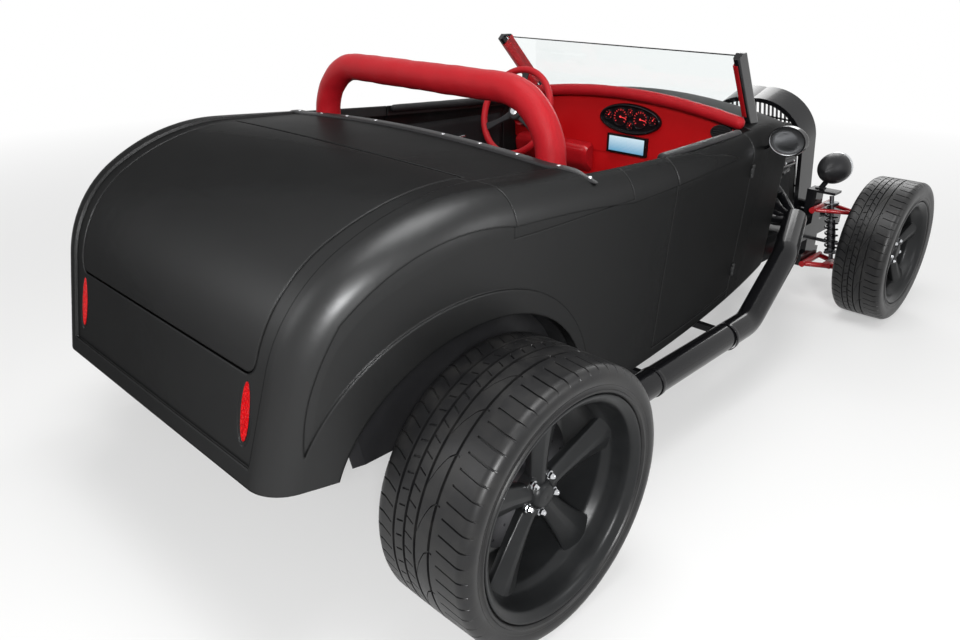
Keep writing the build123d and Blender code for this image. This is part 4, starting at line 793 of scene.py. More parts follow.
def spoke(w, degrees):
    """Spoke on the way t: half width 0.029 + 0.012 t + 0.020 t^3, front out with t^2, end on the barrel."""
    seat, step, hub = w["seat"], w["face"] - w["dish"], hub_face(w)
    t = np.linspace(0, 1, 25)[:, None]
    outline = eased([(-1, -0.44), (-0.88, -0.32), (-0.22, 0.0), (0.22, 0), (0.88, -0.32), (1, -0.44),
                     (0.86, -1), (-0.86, -1)], 0.07)
    wide, deep = outline[:, 0][None], outline[:, 1][None]
    half = (0.029 + 0.012 * t + 0.020 * t ** 3) * seat / WHEELS["rear"]["seat"]
    x = hub + 0.006 + t ** 2 * (step + 0.014 - hub) + deep * (0.040 - 0.004 * t)
    reach = seat - 0.017 + 0.014 * deep
    r = SPOKE_ROOT + t * (reach - SPOKE_ROOT)
    angle = wide * half / np.maximum(r, 0.040) + math.radians(degrees)
    y = w["y"] + SHIFT + r * np.sin(angle)
    z = w["radius"] + r * np.cos(angle)
    return capped(np.stack([x + 0 * y, y, z], axis=-1))


print("barrel", len(barrel(WHEELS["rear"])[1]), "faces, spoke", len(spoke(WHEELS["rear"], 0)[1]))


# %% Hub and nuts
def wheel_centre(w):
    """Hub disc with a sunk ring, closed behind."""
    hub, r = hub_face(w), w["hub_r"]
    profile = [(hub - 0.040, 0.0001), (hub - 0.040, r * 0.80), (hub - 0.006, r * 0.84),
               (hub - 0.001, r * 0.80), (hub - 0.001, 0.040), (hub + 0.010, 0.036),
               (hub + 0.018, 0.029), (hub + 0.020, 0.015), (hub + 0.020, 0.0001)]
    return spin(eased(profile, 0.003), middle_of(w), turns=72)


NUT_CIRCLE = 0.052


def lug(w, degrees):
    """Chrome nut: six-sided body with a domed end and a round collar, between two spokes."""
    hub, (x, y, z) = hub_face(w), middle_of(w)
    body = [(hub - 0.004, 0.0001), (hub - 0.004, 0.0095), (hub + 0.010, 0.0095), (hub + 0.011, 0.0085),
            (hub + 0.016, 0.0068), (hub + 0.0185, 0.0038), (hub + 0.019, 0.0001)]
    collar = [(hub - 0.004, 0.0001), (hub - 0.004, 0.0125), (hub + 0.002, 0.0115), (hub + 0.002, 0.0001)]
    return [turned(spin(profile, (x, y, z + NUT_CIRCLE), turns=turns), "X", degrees, (x, y, z))
            for profile, turns in ((body, 6), (collar, 20))]


print("hub", len(wheel_centre(WHEELS["rear"])[1]), "faces")


# %% Discs
def disc(w):
    """Brake disc of two plates with a vent gap, and its hat."""
    x, r = w["disc_x"], w["disc_r"]
    back = hub_face(w) - 0.030
    rotor = [(x - 0.009, 0.050), (x - 0.009, r), (x - 0.004, r), (x - 0.004, r - 0.008),
             (x + 0.004, r - 0.008), (x + 0.004, r), (x + 0.009, r), (x + 0.009, 0.050)]
    hat = [(x - 0.014, 0.0001), (x - 0.014, 0.062), (back, 0.062), (back, 0.0001)]
    return [spin(eased(rotor, 0.001), middle_of(w), turns=96),
            spin(eased(hat, 0.003), middle_of(w), turns=48)]


HOLES = 40


def hole_shades(w):
    """Dark discs on the outer face of the brake disc where the drilled holes are, in three rings in turn:
    painted shade standing in for the holes.
    """
    face = w["disc_x"] + 0.0091
    profile = [(face - 0.001, 0.0001), (face - 0.001, 0.0042),
               (face + 0.0003, 0.0042), (face + 0.0003, 0.0001)]
    points, faces = spin(profile, middle_of(w), turns=10)
    return [turned((points + (0, 0, w["disc_r"] - 0.018 - 0.022 * (i % 3)), faces), "X", 360 / HOLES * i,
                   middle_of(w)) for i in range(HOLES)]


print("holes in a disc", HOLES)

# %% Put the rims together
for corner, w, side in CORNERS:
    body = f"wheel_{corner}"
    pitch = 360 // SPOKES
    cast = [barrel(w), wheel_centre(w)] + [spoke(w, pitch * i) for i in range(SPOKES)]
    nuts = [p for i in range(SPOKES) for p in lug(w, pitch * i + pitch // 2)]
    made = piece(f"casting_{corner}", cast, "rim", body, [f"rim_{corner}"], crease=30, side=side)
    piece(f"lug_nuts_{corner}", nuts, "chrome", body, side=side)
    piece(f"brake_disc_{corner}", disc(w), "steel", body, side=side)
    # dark discs stand in for the drilled holes: painted shade
    piece(f"painted_hole_shade_{corner}", hole_shades(w), "black_satin", body, side=side)
    print(made.name, triangles(made), "triangles")

# %% [markdown]
# ## Calipers
# A caliper stays with the axle or the upright while the disc turns. On the real car it is a painted
# block that straddles the edge of the disc. A box would not follow the edge, so the section is carried
# round the axle instead, and bolt heads are set on its face.

# %% Calipers
CALIPER_HALF = 0.036


def caliper(w):
    """Curved block: section over x and radius, carried 46 degrees round the disc, ends drawn in."""
    r = w["disc_r"]
    t = np.linspace(-1, 1, 21)[:, None]
    shrink = (1 - np.abs(t) ** 8) ** 0.125 * 0.12 + 0.88
    x0, x1 = w["disc_x"] - CALIPER_HALF, w["disc_x"] + CALIPER_HALF
    section = eased([(x0, r - 0.055), (x0, r + 0.010), (x0 + 0.008, r + 0.016), (x1 - 0.009, r + 0.016),
                     (x1, r + 0.008), (x1, r - 0.055)], 0.006)
    middle = section.mean(axis=0)
    x = middle[0] + (section[:, 0] - middle[0])[None] * shrink
    radius = middle[1] + (section[:, 1] - middle[1])[None] * shrink
    angle = math.radians(w["caliper"]) + t * math.radians(23)
    _, cy, cz = middle_of(w)
    parts = [capped(np.stack([x, cy + radius * np.cos(angle), cz + radius * np.sin(angle)], axis=-1))]
    head = [(x1 - 0.001, 0.0001), (x1 - 0.001, 0.0065), (x1 + 0.002, 0.006), (x1 + 0.003, 0.0001)]
    bolt = spin(head, (0, cy, cz + r - 0.018), turns=12)
    return parts + [turned(bolt, "X", w["caliper"] - 90 + turn, middle_of(w)) for turn in (-15, -5, 5, 15)]


for corner, w, side in CORNERS:
    carrier = "car" if corner.startswith("rear") else corner.replace("front", "upright")
    piece(f"brake_caliper_{corner}", caliper(w), "caliper_red", carrier, side=side)
print("calipers", sum("caliper" in n for n in PIECES))

# %% [markdown]
# ## Padded rolls
# The hoop behind the seats and the roll on the dash are hide over foam. A plain tube would look like
# pipe, so the radius swells and sinks a little along the way, and a narrow groove is the sewn seam.

# %% Padded rolls
def padded_roll(path, radius, up, seam, step=0.006, sides=40, wave=0.0016):
    """Tube whose radius is r (1 + gentle waves) less a narrow groove along the angle seam."""
    even, run = evened(np.asarray(path, float), step)
    _, side, top = directions(even, up)
    angle = around(sides)[None]
    s = run[:, None]
    gentle = np.sin(21 * s + 2 * angle) + np.sin(47 * s - angle + 1.3) + 0.7 * np.sin(83 * s + 3 * angle)
    away = np.abs((angle - seam + math.pi) % (2 * math.pi) - math.pi) * radius
    groove = 0.0022 * np.exp(-(away / 0.0028) ** 2)
    end = np.clip(np.minimum(s, run[-1] - s) / radius, 0, 1)
    r = (radius - wave + wave * gentle / 2.7 - groove) * np.sqrt(1 - (1 - end) ** 2)
    c, d = (r * np.cos(angle))[..., None], (r * np.sin(angle))[..., None]
    return capped(even[:, None] + c * side[:, None] + d * top[:, None])


HOOP_Y, HOOP_R, HOOP_BEND = -0.415, 0.044, 0.185
half_hoop = [(0.515, HOOP_Y, 0.562), (0.521, HOOP_Y, 1.000), (0.495, HOOP_Y, 1.252)]
whole_hoop = half_hoop + [(-x, y, z) for x, y, z in half_hoop[::-1]]
bar_path = bent(np.array(whole_hoop) + (0, SHIFT, 0), HOOP_BEND, 16)
hoop = padded_roll(bar_path, HOOP_R, (0, 1, 0), math.pi, wave=0.0012)
roll = piece("hoop_padding", [hoop], "red_hide", "car", ["roll_bar"])
print(roll.name, triangles(roll), "triangles")

# %% Roll on the dash
ROLL_R, ROLL_HALF, ROLL_TOP = 0.0235, 0.523, 1.101
ROLL_DROP = 0.054                                # how much its ends are lower
DASH_Y = -1.500 + 0.0003 + ROLL_R
ARC_R = (ROLL_HALF ** 2 + ROLL_DROP ** 2) / (2 * ROLL_DROP)
spread = np.linspace(-ROLL_HALF - 0.0195, ROLL_HALF + 0.0195, 60)
sag = ROLL_TOP - ARC_R + np.sqrt(ARC_R ** 2 - spread ** 2)
dash_path = np.stack([spread, np.full(60, DASH_Y + SHIFT), sag], 1)
dash_roll = padded_roll(dash_path, ROLL_R, (0, 1, 0), -0.5 * math.pi, wave=0.0006)
roll = piece("dash_roll", [dash_roll], "red_hide", "car", ["dash_pad"])
print(roll.name, triangles(roll), "triangles")

# %% [markdown]
# ## Door linings
# Inside each door is a black panel with upright sewn channels and a straight pad along its top. The
# door leans in and bows along its length, so a flat box would stand off it. The panel is worked out
# from the body's own curves instead, which are repeated here.

# %% Curves of the body
WIDEST_Y, WIDEST_HALF = -0.180, 0.730
FRONT_ARC, REAR_ARC = 8.277, 2.300
LEAN = math.tan(math.radians(3.3))


def body_half(y):
    """Body half width at the belt: two plan arcs that meet at the widest place."""
    radius = np.where(y < WIDEST_Y, FRONT_ARC, REAR_ARC)
    return WIDEST_HALF - radius + np.sqrt(radius ** 2 - (y - WIDEST_Y) ** 2)


def rim_level(y):
    """Height of the body at the cockpit edge: top line less its crown."""
    share = (y + 1.520) / 1.470
    top, crown = 1.108 + share * (1.102 - 1.108), 0.112 + share * (0.012 - 0.112)
    return top - crown * ((body_half(y) - 0.066) / 0.650) ** 2


print("half width at the door", np.round(body_half(np.array([-1.4, -0.8])), 3))

# %% Door cards with their pads
CARD_Y, CARD_Z = (-1.406, -0.804), (0.446, 0.958)
CHANNEL_PITCH = 0.060


def door_card():
    """Inner panel of the left door: flat back, front with upright channels and eased edges."""
    y = np.linspace(*CARD_Y, 121)[:, None]
    z = np.linspace(*CARD_Z, 45)[None]
    back = body_half(y) - 0.0290 - (1.150 - z) * LEAN
    from_edge = np.minimum(np.minimum(y - CARD_Y[0], CARD_Y[1] - y), np.minimum(z - CARD_Z[0], CARD_Z[1] - z))
    puff = 0.0085 * np.sqrt(np.clip(from_edge / 0.020, 0, 1))
    phase = np.abs(((y + 1.105) / CHANNEL_PITCH) % 1 - 0.5) * 2
    field = np.clip(np.minimum(z - 0.56, 0.86 - z) / 0.02, 0, 1)
    sewn = field * 0.0045 * np.clip((phase - 0.72) / 0.28, 0, 1) ** 2
    front = back - 0.0045 - puff + sewn
    rows = np.concatenate([np.stack([front, y + SHIFT + 0 * z, z + 0 * y], -1),
                           np.stack([back, y + SHIFT + 0 * z, z + 0 * y], -1)[:, ::-1]], axis=1)
    return capped(rows)


PAD_R = 0.016


def door_pad():
    """Straight padded roll along the inner top edge of the left door."""
    y = np.array([-1.416, -0.794])
    x = body_half(np.array([-1.400, -0.810])) - 0.066 - 0.0008 - PAD_R
    z = rim_level(np.array([-1.400, -0.810])) - 0.004
    path = np.stack([x, y + SHIFT, z], axis=1)
    return padded_roll(path, PAD_R, (0, 0, 1), math.pi * 1.5, wave=0.0004, sides=28)


def door_pull():
    """Bent bar that stands off the card, with both feet in it."""
    foot = float(body_half(-1.13)) - 0.0425 - (1.150 - 0.80) * LEAN
    path = [(foot + out, y + SHIFT, 0.885) for out, y in
            ((0.004, -1.18), (-0.024, -1.18), (-0.024, -1.07), (0.004, -1.07))]
    return tube(bent(path, 0.010, 6), 0.0065, 14, up=(0, 0, 1))


for side_name, side in SIDES.items():
    made = piece(f"door_lining_{side_name}", [door_card(), door_pad()], "black_hide", f"door_{side_name}",
                 [f"door_card_{side_name}"], side=side)
    piece(f"door_pull_{side_name}", [door_pull()], "chrome", f"door_{side_name}", side=side)
print("door linings", triangles(PIECES["door_lining_left"]), "triangles each")

# %% [markdown]
# ## Bench
# The bench has two cushions and two backs of hide over foam, on low bases. A modelled bulge looks stiff,
# so each cushion starts as an eased block that a cloth simulation blows up a little, as the foam fills
# the real cover. The sewn channels are pressed in afterwards.

# %% Cushion before it swells
def pillow(outline, x0, x1, ease):
    """Eased (y, z) outline carried along x, its ends drawn in by a high power of the way to the end."""
    ring = eased(eased(outline, ease), ease * 0.3)
    t = np.linspace(-1, 1, 31)
    scale = (1 - np.abs(t) ** 7) ** 0.2 * 0.22 + 0.78
    middle = ring.mean(axis=0)
    rows = [np.column_stack([np.full(len(ring), x0 + (x1 - x0) * (a + 1) / 2), middle + (ring - middle) * s])
            for a, s in zip(t, scale)]
    points = np.stack(rows)
    points[..., 1] += SHIFT
    return capped(points)


SEAT_OUTLINE = [(-1.120, 0.545), (-0.712, 0.545), (-0.712, 0.618), (-0.930, 0.626), (-1.116, 0.630)]
BACK_OUTLINE = [(-0.684, 0.548), (-0.570, 0.548), (-0.570, 0.972), (-0.622, 0.976)]
print("seat cushion", len(pillow(SEAT_OUTLINE, 0, 0.5, 0.030)[1]), "faces before it swells")

# %% Swelling and channels
FRAMES = 20


def swell(ob, cap, voxel=0.006, pressure=4.0):
    """Voxel remesh, swell under cloth pressure, and keep each point within cap of its start."""
    bpy.context.view_layer.objects.active = ob
    remesh = ob.modifiers.new("remesh", "REMESH")
    remesh.mode, remesh.voxel_size = "VOXEL", voxel
    bpy.ops.object.modifier_apply(modifier=remesh.name)
    start = read(ob.data.vertices, "co")
    cloth = ob.modifiers.new("cloth", "CLOTH")
    cloth.settings.use_pressure = True
    cloth.settings.uniform_pressure_force = pressure
    cloth.settings.effector_weights.gravity = 0
    for step in range(1, FRAMES + 1):
        bpy.context.scene.frame_set(step)
    found = ob.evaluated_get(bpy.context.evaluated_depsgraph_get()).to_mesh()
    moved = read(found.vertices, "co") - start
    ob.modifiers.remove(cloth)
    bpy.context.scene.frame_set(1)
    far = np.linalg.norm(moved, axis=1, keepdims=True)
    moved *= np.minimum(1, cap / np.maximum(far, 1e-9))
    ob.data.vertices.foreach_set("co", (start + moved).ravel())
    ob.data.polygons.foreach_set("use_smooth", np.ones(len(ob.data.polygons), bool))
    ob.data.update()
    return float(far.max())


def channel(ob, pitch, deep, axis):
    """Press sewn channels into a cushion: sink points by deep exp(-(distance to the seam / 5 mm)^2)."""
    co, normal = read(ob.data.vertices, "co"), read(ob.data.vertices, "normal")
    away = np.abs((co[:, 0] / pitch) % 1 - 0.5) * pitch
    facing = np.clip(normal @ np.array(axis, np.float32), 0, 1)
    co -= normal * (deep * facing * np.exp(-(away / 0.005) ** 2))[:, None]
    ob.data.vertices.foreach_set("co", co.ravel())
    ob.data.update()


print("cloth frames", FRAMES)

# %% Cushions, backs and bases
BENCH_GAP, BENCH_HALF, BASE_X = 0.012, 0.478, (0.145, 0.475)
for side_name, side in SIDES.items():
    x0, x1 = sorted((side * BENCH_GAP, side * BENCH_HALF))
    cushion = piece(f"seat_cushion_{side_name}", [pillow(SEAT_OUTLINE, x0, x1, 0.030)], "red_hide", "car",
                    ["seat"] if side > 0 else ())
    back = piece(f"seat_squab_{side_name}", [pillow(BACK_OUTLINE, x0, x1, 0.030)], "red_hide", "car",
                 ["seat_back"] if side > 0 else ())
    for ob, axis in ((cushion, (0, 0, 1)), (back, (0, -1, 0.2))):
        print(ob.name, "swelled", round(swell(ob, 0.008) * 1000, 1), "mm")
        channel(ob, 0.0775, 0.007, axis)
    b0, b1 = sorted(side * x for x in BASE_X)
    base = block((b0, -1.075 + SHIFT, 0.402), (b1, -0.700 + SHIFT, 0.545), 0.010)
    piece(f"seat_base_{side_name}", [base], "black_hide", "car")
print("bench pieces", sum("seat" in n for n in PIECES))

# %% [markdown]
# ## Gauges
# The dash is a red panel with an oval cluster of six dials, two large and four small. Printed faces
# would need pictures, so every mark and needle is a small flat bar, placed by its angle. The marks
# glow a little, as lit gauges do.

# %% Dials
DASH_FACE = -1.496 + SHIFT
CLUSTER = (-0.045, 1.000)
DIALS = [(-0.048, 0.004, 0.034), (0.048, 0.004, 0.034), (-0.106, 0.006, 0.018), (0.106, 0.006, 0.018),
         (0.0, 0.026, 0.015), (0.0, -0.026, 0.015)]    # x and z from the cluster's middle, radius
SWEEP = 130
LARGE = 0.03


def on_dial(dial, degrees, reach):
    """Point (x, z) at an angle clockwise from the top of a dial, reach times its radius out."""
    dx, dz, r = dial
    angle = math.radians(degrees)
    return (CLUSTER[0] + dx + reach * r * math.sin(angle), CLUSTER[1] + dz + reach * r * math.cos(angle))


def bar(a, b, half, thick, y):
    """Flat hand or mark on a dial between two (x, z) points."""
    a, b = np.array(a, float), np.array(b, float)
    way = (b - a) / np.linalg.norm(b - a)
    across = np.array([-way[1], way[0]]) * half
    ring = np.array([a - across, b - across, b + across, a + across])
    rows = [np.stack([ring[:, 0], np.full(4, h), ring[:, 1]], axis=1) for h in (y, y + thick)]
    return capped(np.stack(rows))


bezels, faces, marks, hands = [], [], [], []
for dial in DIALS:
    dx, dz, r = dial
    centre = (CLUSTER[0] + dx, DASH_FACE, CLUSTER[1] + dz)
    bezel = [(0.006, r + 0.004), (0.011, r + 0.0035), (0.011, r), (0.006, r)]
    bezels.append(spin(eased(bezel, 0.0008), centre, "Y", 48))
    faces.append(spin([(0.0058, 0.0001), (0.0058, r), (0.0066, r), (0.0066, 0.0001)], centre, "Y", 40))
    for i, degrees in enumerate(np.linspace(-SWEEP, SWEEP, 13 if r > LARGE else 7)):
        inner = on_dial(dial, degrees, 0.78 if i % 2 else 0.70)
        marks.append(bar(inner, on_dial(dial, degrees, 0.92), r * 0.028, 0.0006, DASH_FACE + 0.0066))
    degrees = -100 if r > LARGE else -30
    hands.append(bar(on_dial(dial, degrees, -0.12), on_dial(dial, degrees, 0.80), r * 0.035, 0.0008,
                     DASH_FACE + 0.0076))
    hands.append(spin([(0.0074, 0.0001), (0.0074, r * 0.12), (0.0094, r * 0.10), (0.0096, 0.0001)], centre,
                      "Y", 16))
print("dials", len(DIALS), "marks", len(marks))

# %% Dial finishes
FINISH["dial_face"] = gloss_paint("dial_face", (0.010, 0.003, 0.004), 0.3, 0.0)
FINISH["lit_mark"] = powder_coat("lit_mark", (0.70, 0.05, 0.05), 0.4, 0.0)
glow = FINISH["lit_mark"].node_tree.nodes["Principled BSDF"].inputs
glow["Emission Color"].default_value = (1.0, 0.04, 0.05, 1)
glow["Emission Strength"].default_value = 0.6
piece("dial_bezels", bezels, "black_gloss", "car")
piece("dial_faces", faces, "dial_face", "car")
piece("dial_marks", marks, "lit_mark", "car")
piece("dial_hands", hands, "lit_mark", "car")
print("dial pieces", sum(n.startswith("dial") for n in PIECES))

# %% [markdown]
# ## Cluster rim, vents and screen
# A black oval rim frames the dials, a round vent sits at each end of the dash and a lit screen hangs
# below the cluster. A ring scaled to an oval would get thick and thin places, so the section is set off
# from the ellipse by the same distance all round.

# %% Ovals on the dash
def oval_ring(cx, cz, a, b, section, turns=72):
    """Section of (height, outward) pairs carried round an ellipse on the dash."""
    section = np.asarray(section, float)
    angle = around(turns)[None]
    out = section[:, 1:]
    return np.stack([cx + (a + out) * np.cos(angle), DASH_FACE + section[:, :1] + 0 * angle,
                     cz + (b + out) * np.sin(angle)], axis=-1)


RIM_HALVES = (0.136, 0.051)
rim_section = eased([(0.0, 0.0), (0.0, 0.010), (0.010, 0.010), (0.018, 0.006), (0.018, 0.0),
                     (0.008, -0.003)], 0.002)
cluster_rim = grid(oval_ring(*CLUSTER, *RIM_HALVES, rim_section), True, True)
print("cluster rim", len(cluster_rim[1]), "faces")

# %% Vents and screen
VENT_X, VENT_Z, VENT_HALVES = 0.450, 1.000, (0.040, 0.024)
vent_section = eased([(0.0, 0.0), (0.0, 0.006), (0.007, 0.005), (0.008, 0.0)], 0.001)
back_section = [(0.0008, 0.0001), (0.0008, 0.0235), (0.0016, 0.0235), (0.0016, 0.0001)]
vents = []
for x in (-VENT_X, VENT_X):
    vents.append(grid(oval_ring(x, VENT_Z, *VENT_HALVES, vent_section, 48), True, True))
    back = oval_ring(x, VENT_Z, 0.0, 0.0, back_section, 40)
    back[..., 0] = x + (back[..., 0] - x) * 1.68
    vents.append(grid(back, True, True))
    for dz in (-0.012, -0.004, 0.004, 0.012):
        half = VENT_HALVES[0] * math.sqrt(1 - (dz / 0.026) ** 2) - 0.002
        vents.append(block((x - half, DASH_FACE + 0.0010, VENT_Z + dz - 0.0012),
                           (x + half, DASH_FACE + 0.0060, VENT_Z + dz + 0.0012), 0.0005))
piece("dash_vents", vents, "black_satin", "car")
piece("cluster_rim", [cluster_rim], "black_gloss", "car")
screen = block((-0.127, DASH_FACE + 0.0155, SCREEN_LOW), (0.043, DASH_FACE + 0.0172, SCREEN_HIGH), 0.0008)
piece("screen_pane", [screen], "screen", "car")
print("screen", round(SCREEN_HIGH - SCREEN_LOW, 3), "m high")

# %% [markdown]
# ## Lower dash
# Below the dash a red panel goes on down to the legs, and a glossy red bolster with a round nose stands
# out of it on the driver's side. Both are simple padded shapes, so a block and a carried outline do.

# %% Lower dash
PANEL_HALF, PANEL_FOOT, PANEL_HEAD = 0.560, 0.716, 0.852
panel = block((-PANEL_HALF, DASH_FACE - 0.034, PANEL_FOOT), (PANEL_HALF, DASH_FACE - 0.004, PANEL_HEAD))
BOLSTER = [(-1.498, 0.884), (-1.450, 0.874), (-1.434, 0.850), (-1.446, 0.790), (-1.498, 0.742)]
bolster = pillow(BOLSTER, 0.130, 0.530, 0.016)
piece("knee_panel", [panel], "dash_red", "car")
piece("knee_bolster", [bolster], "red_gloss", "car")
print("lower dash", triangles(PIECES["knee_bolster"]), "triangles on the bolster")

# %% [markdown]
# ## Steering wheel
# The wheel is a wrapped red ring on three flat black spokes, tilted towards the driver. A torus from a
# menu has one even tube, so the ring is a grid with finger waves on its back. Everything is worked out
# flat, across the column, and then placed at the hub.

# %% Places on the column
HUB = np.array([0.330, -1.215 + SHIFT, 1.015])
TILT = math.radians(20)
FACING = np.array([0, math.cos(TILT), math.sin(TILT)])
WHEEL_UP = np.array([0, -math.sin(TILT), math.cos(TILT)])


def on_column(points):
    """Points given across the column (x, up the wheel, towards the driver), placed at the hub."""
    points = np.asarray(points, float)
    return HUB + points[..., :1] * (1, 0, 0) + points[..., 1:2] * WHEEL_UP + points[..., 2:] * FACING


def column_ring(profile, turns=48):
    """(towards the driver, radius) profile carried round the column's axis."""
    points, faces = spin(profile, (0, 0, 0), "Z", turns)
    return on_column(points), faces


print("wheel tilted", round(math.degrees(TILT)), "degrees")

# %% Grip and spokes
GRIP_R, TUBE_R = 0.172, 0.0136


def grip():
    """Wrapped ring: torus whose tube has finger waves on its back."""
    a, b = around(180)[:, None], around(28)[None]
    r = TUBE_R + 0.0004 * np.cos(a * 36) * np.clip(-np.sin(b), 0, 1)
    ring = np.stack([(GRIP_R + r * np.cos(b)) * np.cos(a), (GRIP_R + r * np.cos(b)) * np.sin(a),
                     r * np.sin(b) + 0 * a], axis=-1)
    return grid(on_column(ring), True, True)


def wheel_spoke(degrees):
    """Flat spoke that narrows in the middle and dips to the hub: half width 0.011 + 0.007 (2t-1)^2."""
    t = np.linspace(0, 1, 15)[:, None]
    ring = eased([(-1, -1), (1, -1), (1, 1), (-1, 1)], 0.4)
    x = ring[:, 0][None] * (0.011 + 0.007 * (2 * t - 1) ** 2)
    y = 0.020 + t * 0.142 + 0 * x
    z = ring[:, 1][None] * 0.0028 - 0.004 * np.sin(math.pi * t) + 0 * x
    a = math.radians(degrees)
    points = np.stack([x * math.cos(a) - y * math.sin(a), x * math.sin(a) + y * math.cos(a), z], axis=-1)
    return capped(on_column(points))


hub_profile = [(-0.030, 0.0001), (-0.030, 0.026), (-0.006, 0.032), (0.006, 0.034), (0.012, 0.030),
               (0.013, 0.0001)]
horn_profile = [(0.0132, 0.0001), (0.0132, 0.019), (0.0165, 0.018), (0.018, 0.0001)]
shaft_form = column_ring([(-0.090, 0.0001), (-0.090, 0.0118), (-0.026, 0.0118), (-0.026, 0.0001)], 24)
wheel_grip = piece("wheel_grip", [grip()], "red_hide", "handwheel", ["steering_wheel"])
arms = [wheel_spoke(a) for a in (0, 120, 240)]
piece("wheel_spokes", arms + [column_ring(eased(hub_profile, 0.003)), shaft_form], "black_satin",
      "handwheel")
piece("horn_button", [column_ring(eased(horn_profile, 0.001))], "chrome", "handwheel")
print("steering wheel", triangles(wheel_grip), "triangles")

# %% [markdown]
# ## Cabin floor
# Short pile covers the floor and the tunnel. Real tufts would be millions of hairs that nobody sees
# under the dash, so the mat is a sheet that follows the tunnel and the pile is in its finish.

# %% Floor pile
FLOOR_Z, TUNNEL_R = 0.400, 0.126
MAT_HALF = 0.545


def floor_pile():
    """Sheet over the floor and tunnel: z = max(floor, tunnel arc) + 1.2 mm, 7 mm thick and closed below."""
    x = np.linspace(-MAT_HALF, MAT_HALF, 110)[None]
    y = np.linspace(-1.915, -0.575, 40)[:, None]
    x = x * np.minimum(1.0, (body_half(y) - 0.028 - 0.750 * LEAN - 0.012) / MAT_HALF)
    arc = FLOOR_Z + np.sqrt(np.clip(TUNNEL_R ** 2 - x ** 2, 0, None))
    z = np.maximum(FLOOR_Z, arc) + 0.0012
    lower = np.stack([x, y + SHIFT + 0 * x, z], -1)
    upper = lower + np.array([0, 0, 0.007])
    return capped(np.concatenate([lower, upper[:, ::-1]], axis=1))


piece("floor_mat", [floor_pile()], "pile", "car")
print("floor mat", triangles(PIECES["floor_mat"]), "triangles")

# %% [markdown]
# ## Cockpit finisher
# A black strip with chrome snap studs lies across the body behind the cockpit. The body is crowned, so
# a strip at one height would sink in or stand off. The path is dropped on to the CAD surface with rays
# instead, smoothed, and a flat section that narrows at both ends is carried along it.

# %% Dropping a path on to the body
def tree_of(*names):
    """Search tree over the CAD meshes of some nodes."""
    points, faces, start = [], [], 0
    for name in names:
        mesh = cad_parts[name].data
        mesh.calc_loop_triangles()
        points.append(read(mesh.vertices, "co"))
        faces.append(read(mesh.loop_triangles, "vertices", kind=np.int32) + start)
        start += len(mesh.vertices)
    return BVHTree.FromPolygons(np.concatenate(points).tolist(), np.concatenate(faces).tolist())


def settle(path, tree):
    """The path dropped on to a surface from above, smoothed along its run."""
    down = Vector((0, 0, -1))
    hits = [tree.ray_cast(Vector((x, y, 1.6)), down)[0] for x, y, _ in path]
    z = np.array([hit.z if hit else np.nan for hit in hits])
    good = ~np.isnan(z)
    z = np.interp(np.arange(len(z)), np.flatnonzero(good), z[good])
    z = np.convolve(np.pad(z, 4, mode="edge"), np.ones(9) / 9, mode="valid")
    return np.stack([path[:, 0], path[:, 1], z], axis=1)


body_tree = tree_of("body_tub", "top_panel")
print("body surface ready")

# %% Finisher and studs
STEP, TAPER = 0.010, 0.10
STRIP_HALF = 0.022
half_run = np.array([(0.700, -0.376), (0.660, -0.362), (0.600, -0.350), (0.500, -0.345), (0.100, -0.345)])
whole = np.concatenate([half_run, half_run[::-1] * (-1, 1)])
flat, _ = evened(np.column_stack([whole[:, 0], whole[:, 1] + SHIFT, np.zeros(len(whole))]), STEP)
finisher_path = settle(flat, body_tree)
profile = eased([(-1, -0.25), (1, -0.25), (0.95, 0.16), (0.60, 0.32), (-0.60, 0.32), (-0.95, 0.16)], 0.15)
count = np.arange(len(finisher_path))
from_end = np.minimum(count, count[::-1]) * STEP
half_width = STRIP_HALF * (0.35 + 0.65 * np.clip(from_end / TAPER, 0, 1) ** 0.7)
finisher = tube(finisher_path, half_width, up=(0, 0, 1), bulge=0.3, section=profile)
piece("cockpit_finisher", [finisher], "black_hide", "car")
stud = eased([(0.003, 0.0001), (0.003, 0.0066), (0.0072, 0.006), (0.0088, 0.0040), (0.0094, 0.0001)], 0.0008)
studs = []
for side in (1, -1):
    for x, y in ((0.16, -0.345), (0.31, -0.345), (0.45, -0.345), (0.59, -0.350), (0.685, -0.371)):
        away = np.hypot(finisher_path[:, 0] - side * x, finisher_path[:, 1] - SHIFT - y)
        studs.append(spin(stud, finisher_path[np.argmin(away)], "Z", 20))
piece("snap_studs", studs, "chrome", "car")
print("studs", len(studs))

# %% [markdown]
# ## Post linings
# The inner faces of the windshield posts are red. Painting part of the black post would need a mask on
# the CAD mesh, and the real lining has a thickness, so it is a thin angle section along the post.

# %% Post linings
post_base, post_top = np.array([0.505, -1.630, 1.000]), np.array([0.545, -1.362, 1.298])
post_way = (post_top - post_base) / np.linalg.norm(post_top - post_base)
# section of the lining in metres: towards the middle of the car, towards the driver
LINING = eased([(0.0116, -0.028), (0.0136, -0.028), (0.0136, 0.0328), (-0.004, 0.0328), (-0.004, 0.0306),
                (0.0116, 0.0306)], 0.0006)
for side_name, side in SIDES.items():
    line = [post_base + post_way * t + (0, SHIFT, 0) for t in (0.112, 0.250, 0.374)]
    lining = tube(line, 1.0, up=(0, 0.75, -0.66), bulge=0.0, section=LINING)
    piece(f"post_lining_{side_name}", [lining], "red_gloss", "car", side=side)
print("post linings", len(SIDES))

# %% [markdown]
# ## Dampers and springs
# The dampers have open coil springs with a threaded body inside. A solid sleeve with stripes would hide
# the daylight between the coils, so each spring is a tube along a helix.

# %% Dampers and coil springs
COILS, SEAT_IN, WIRE_R = 7.5, 0.050, 0.0048
THREADS = 9


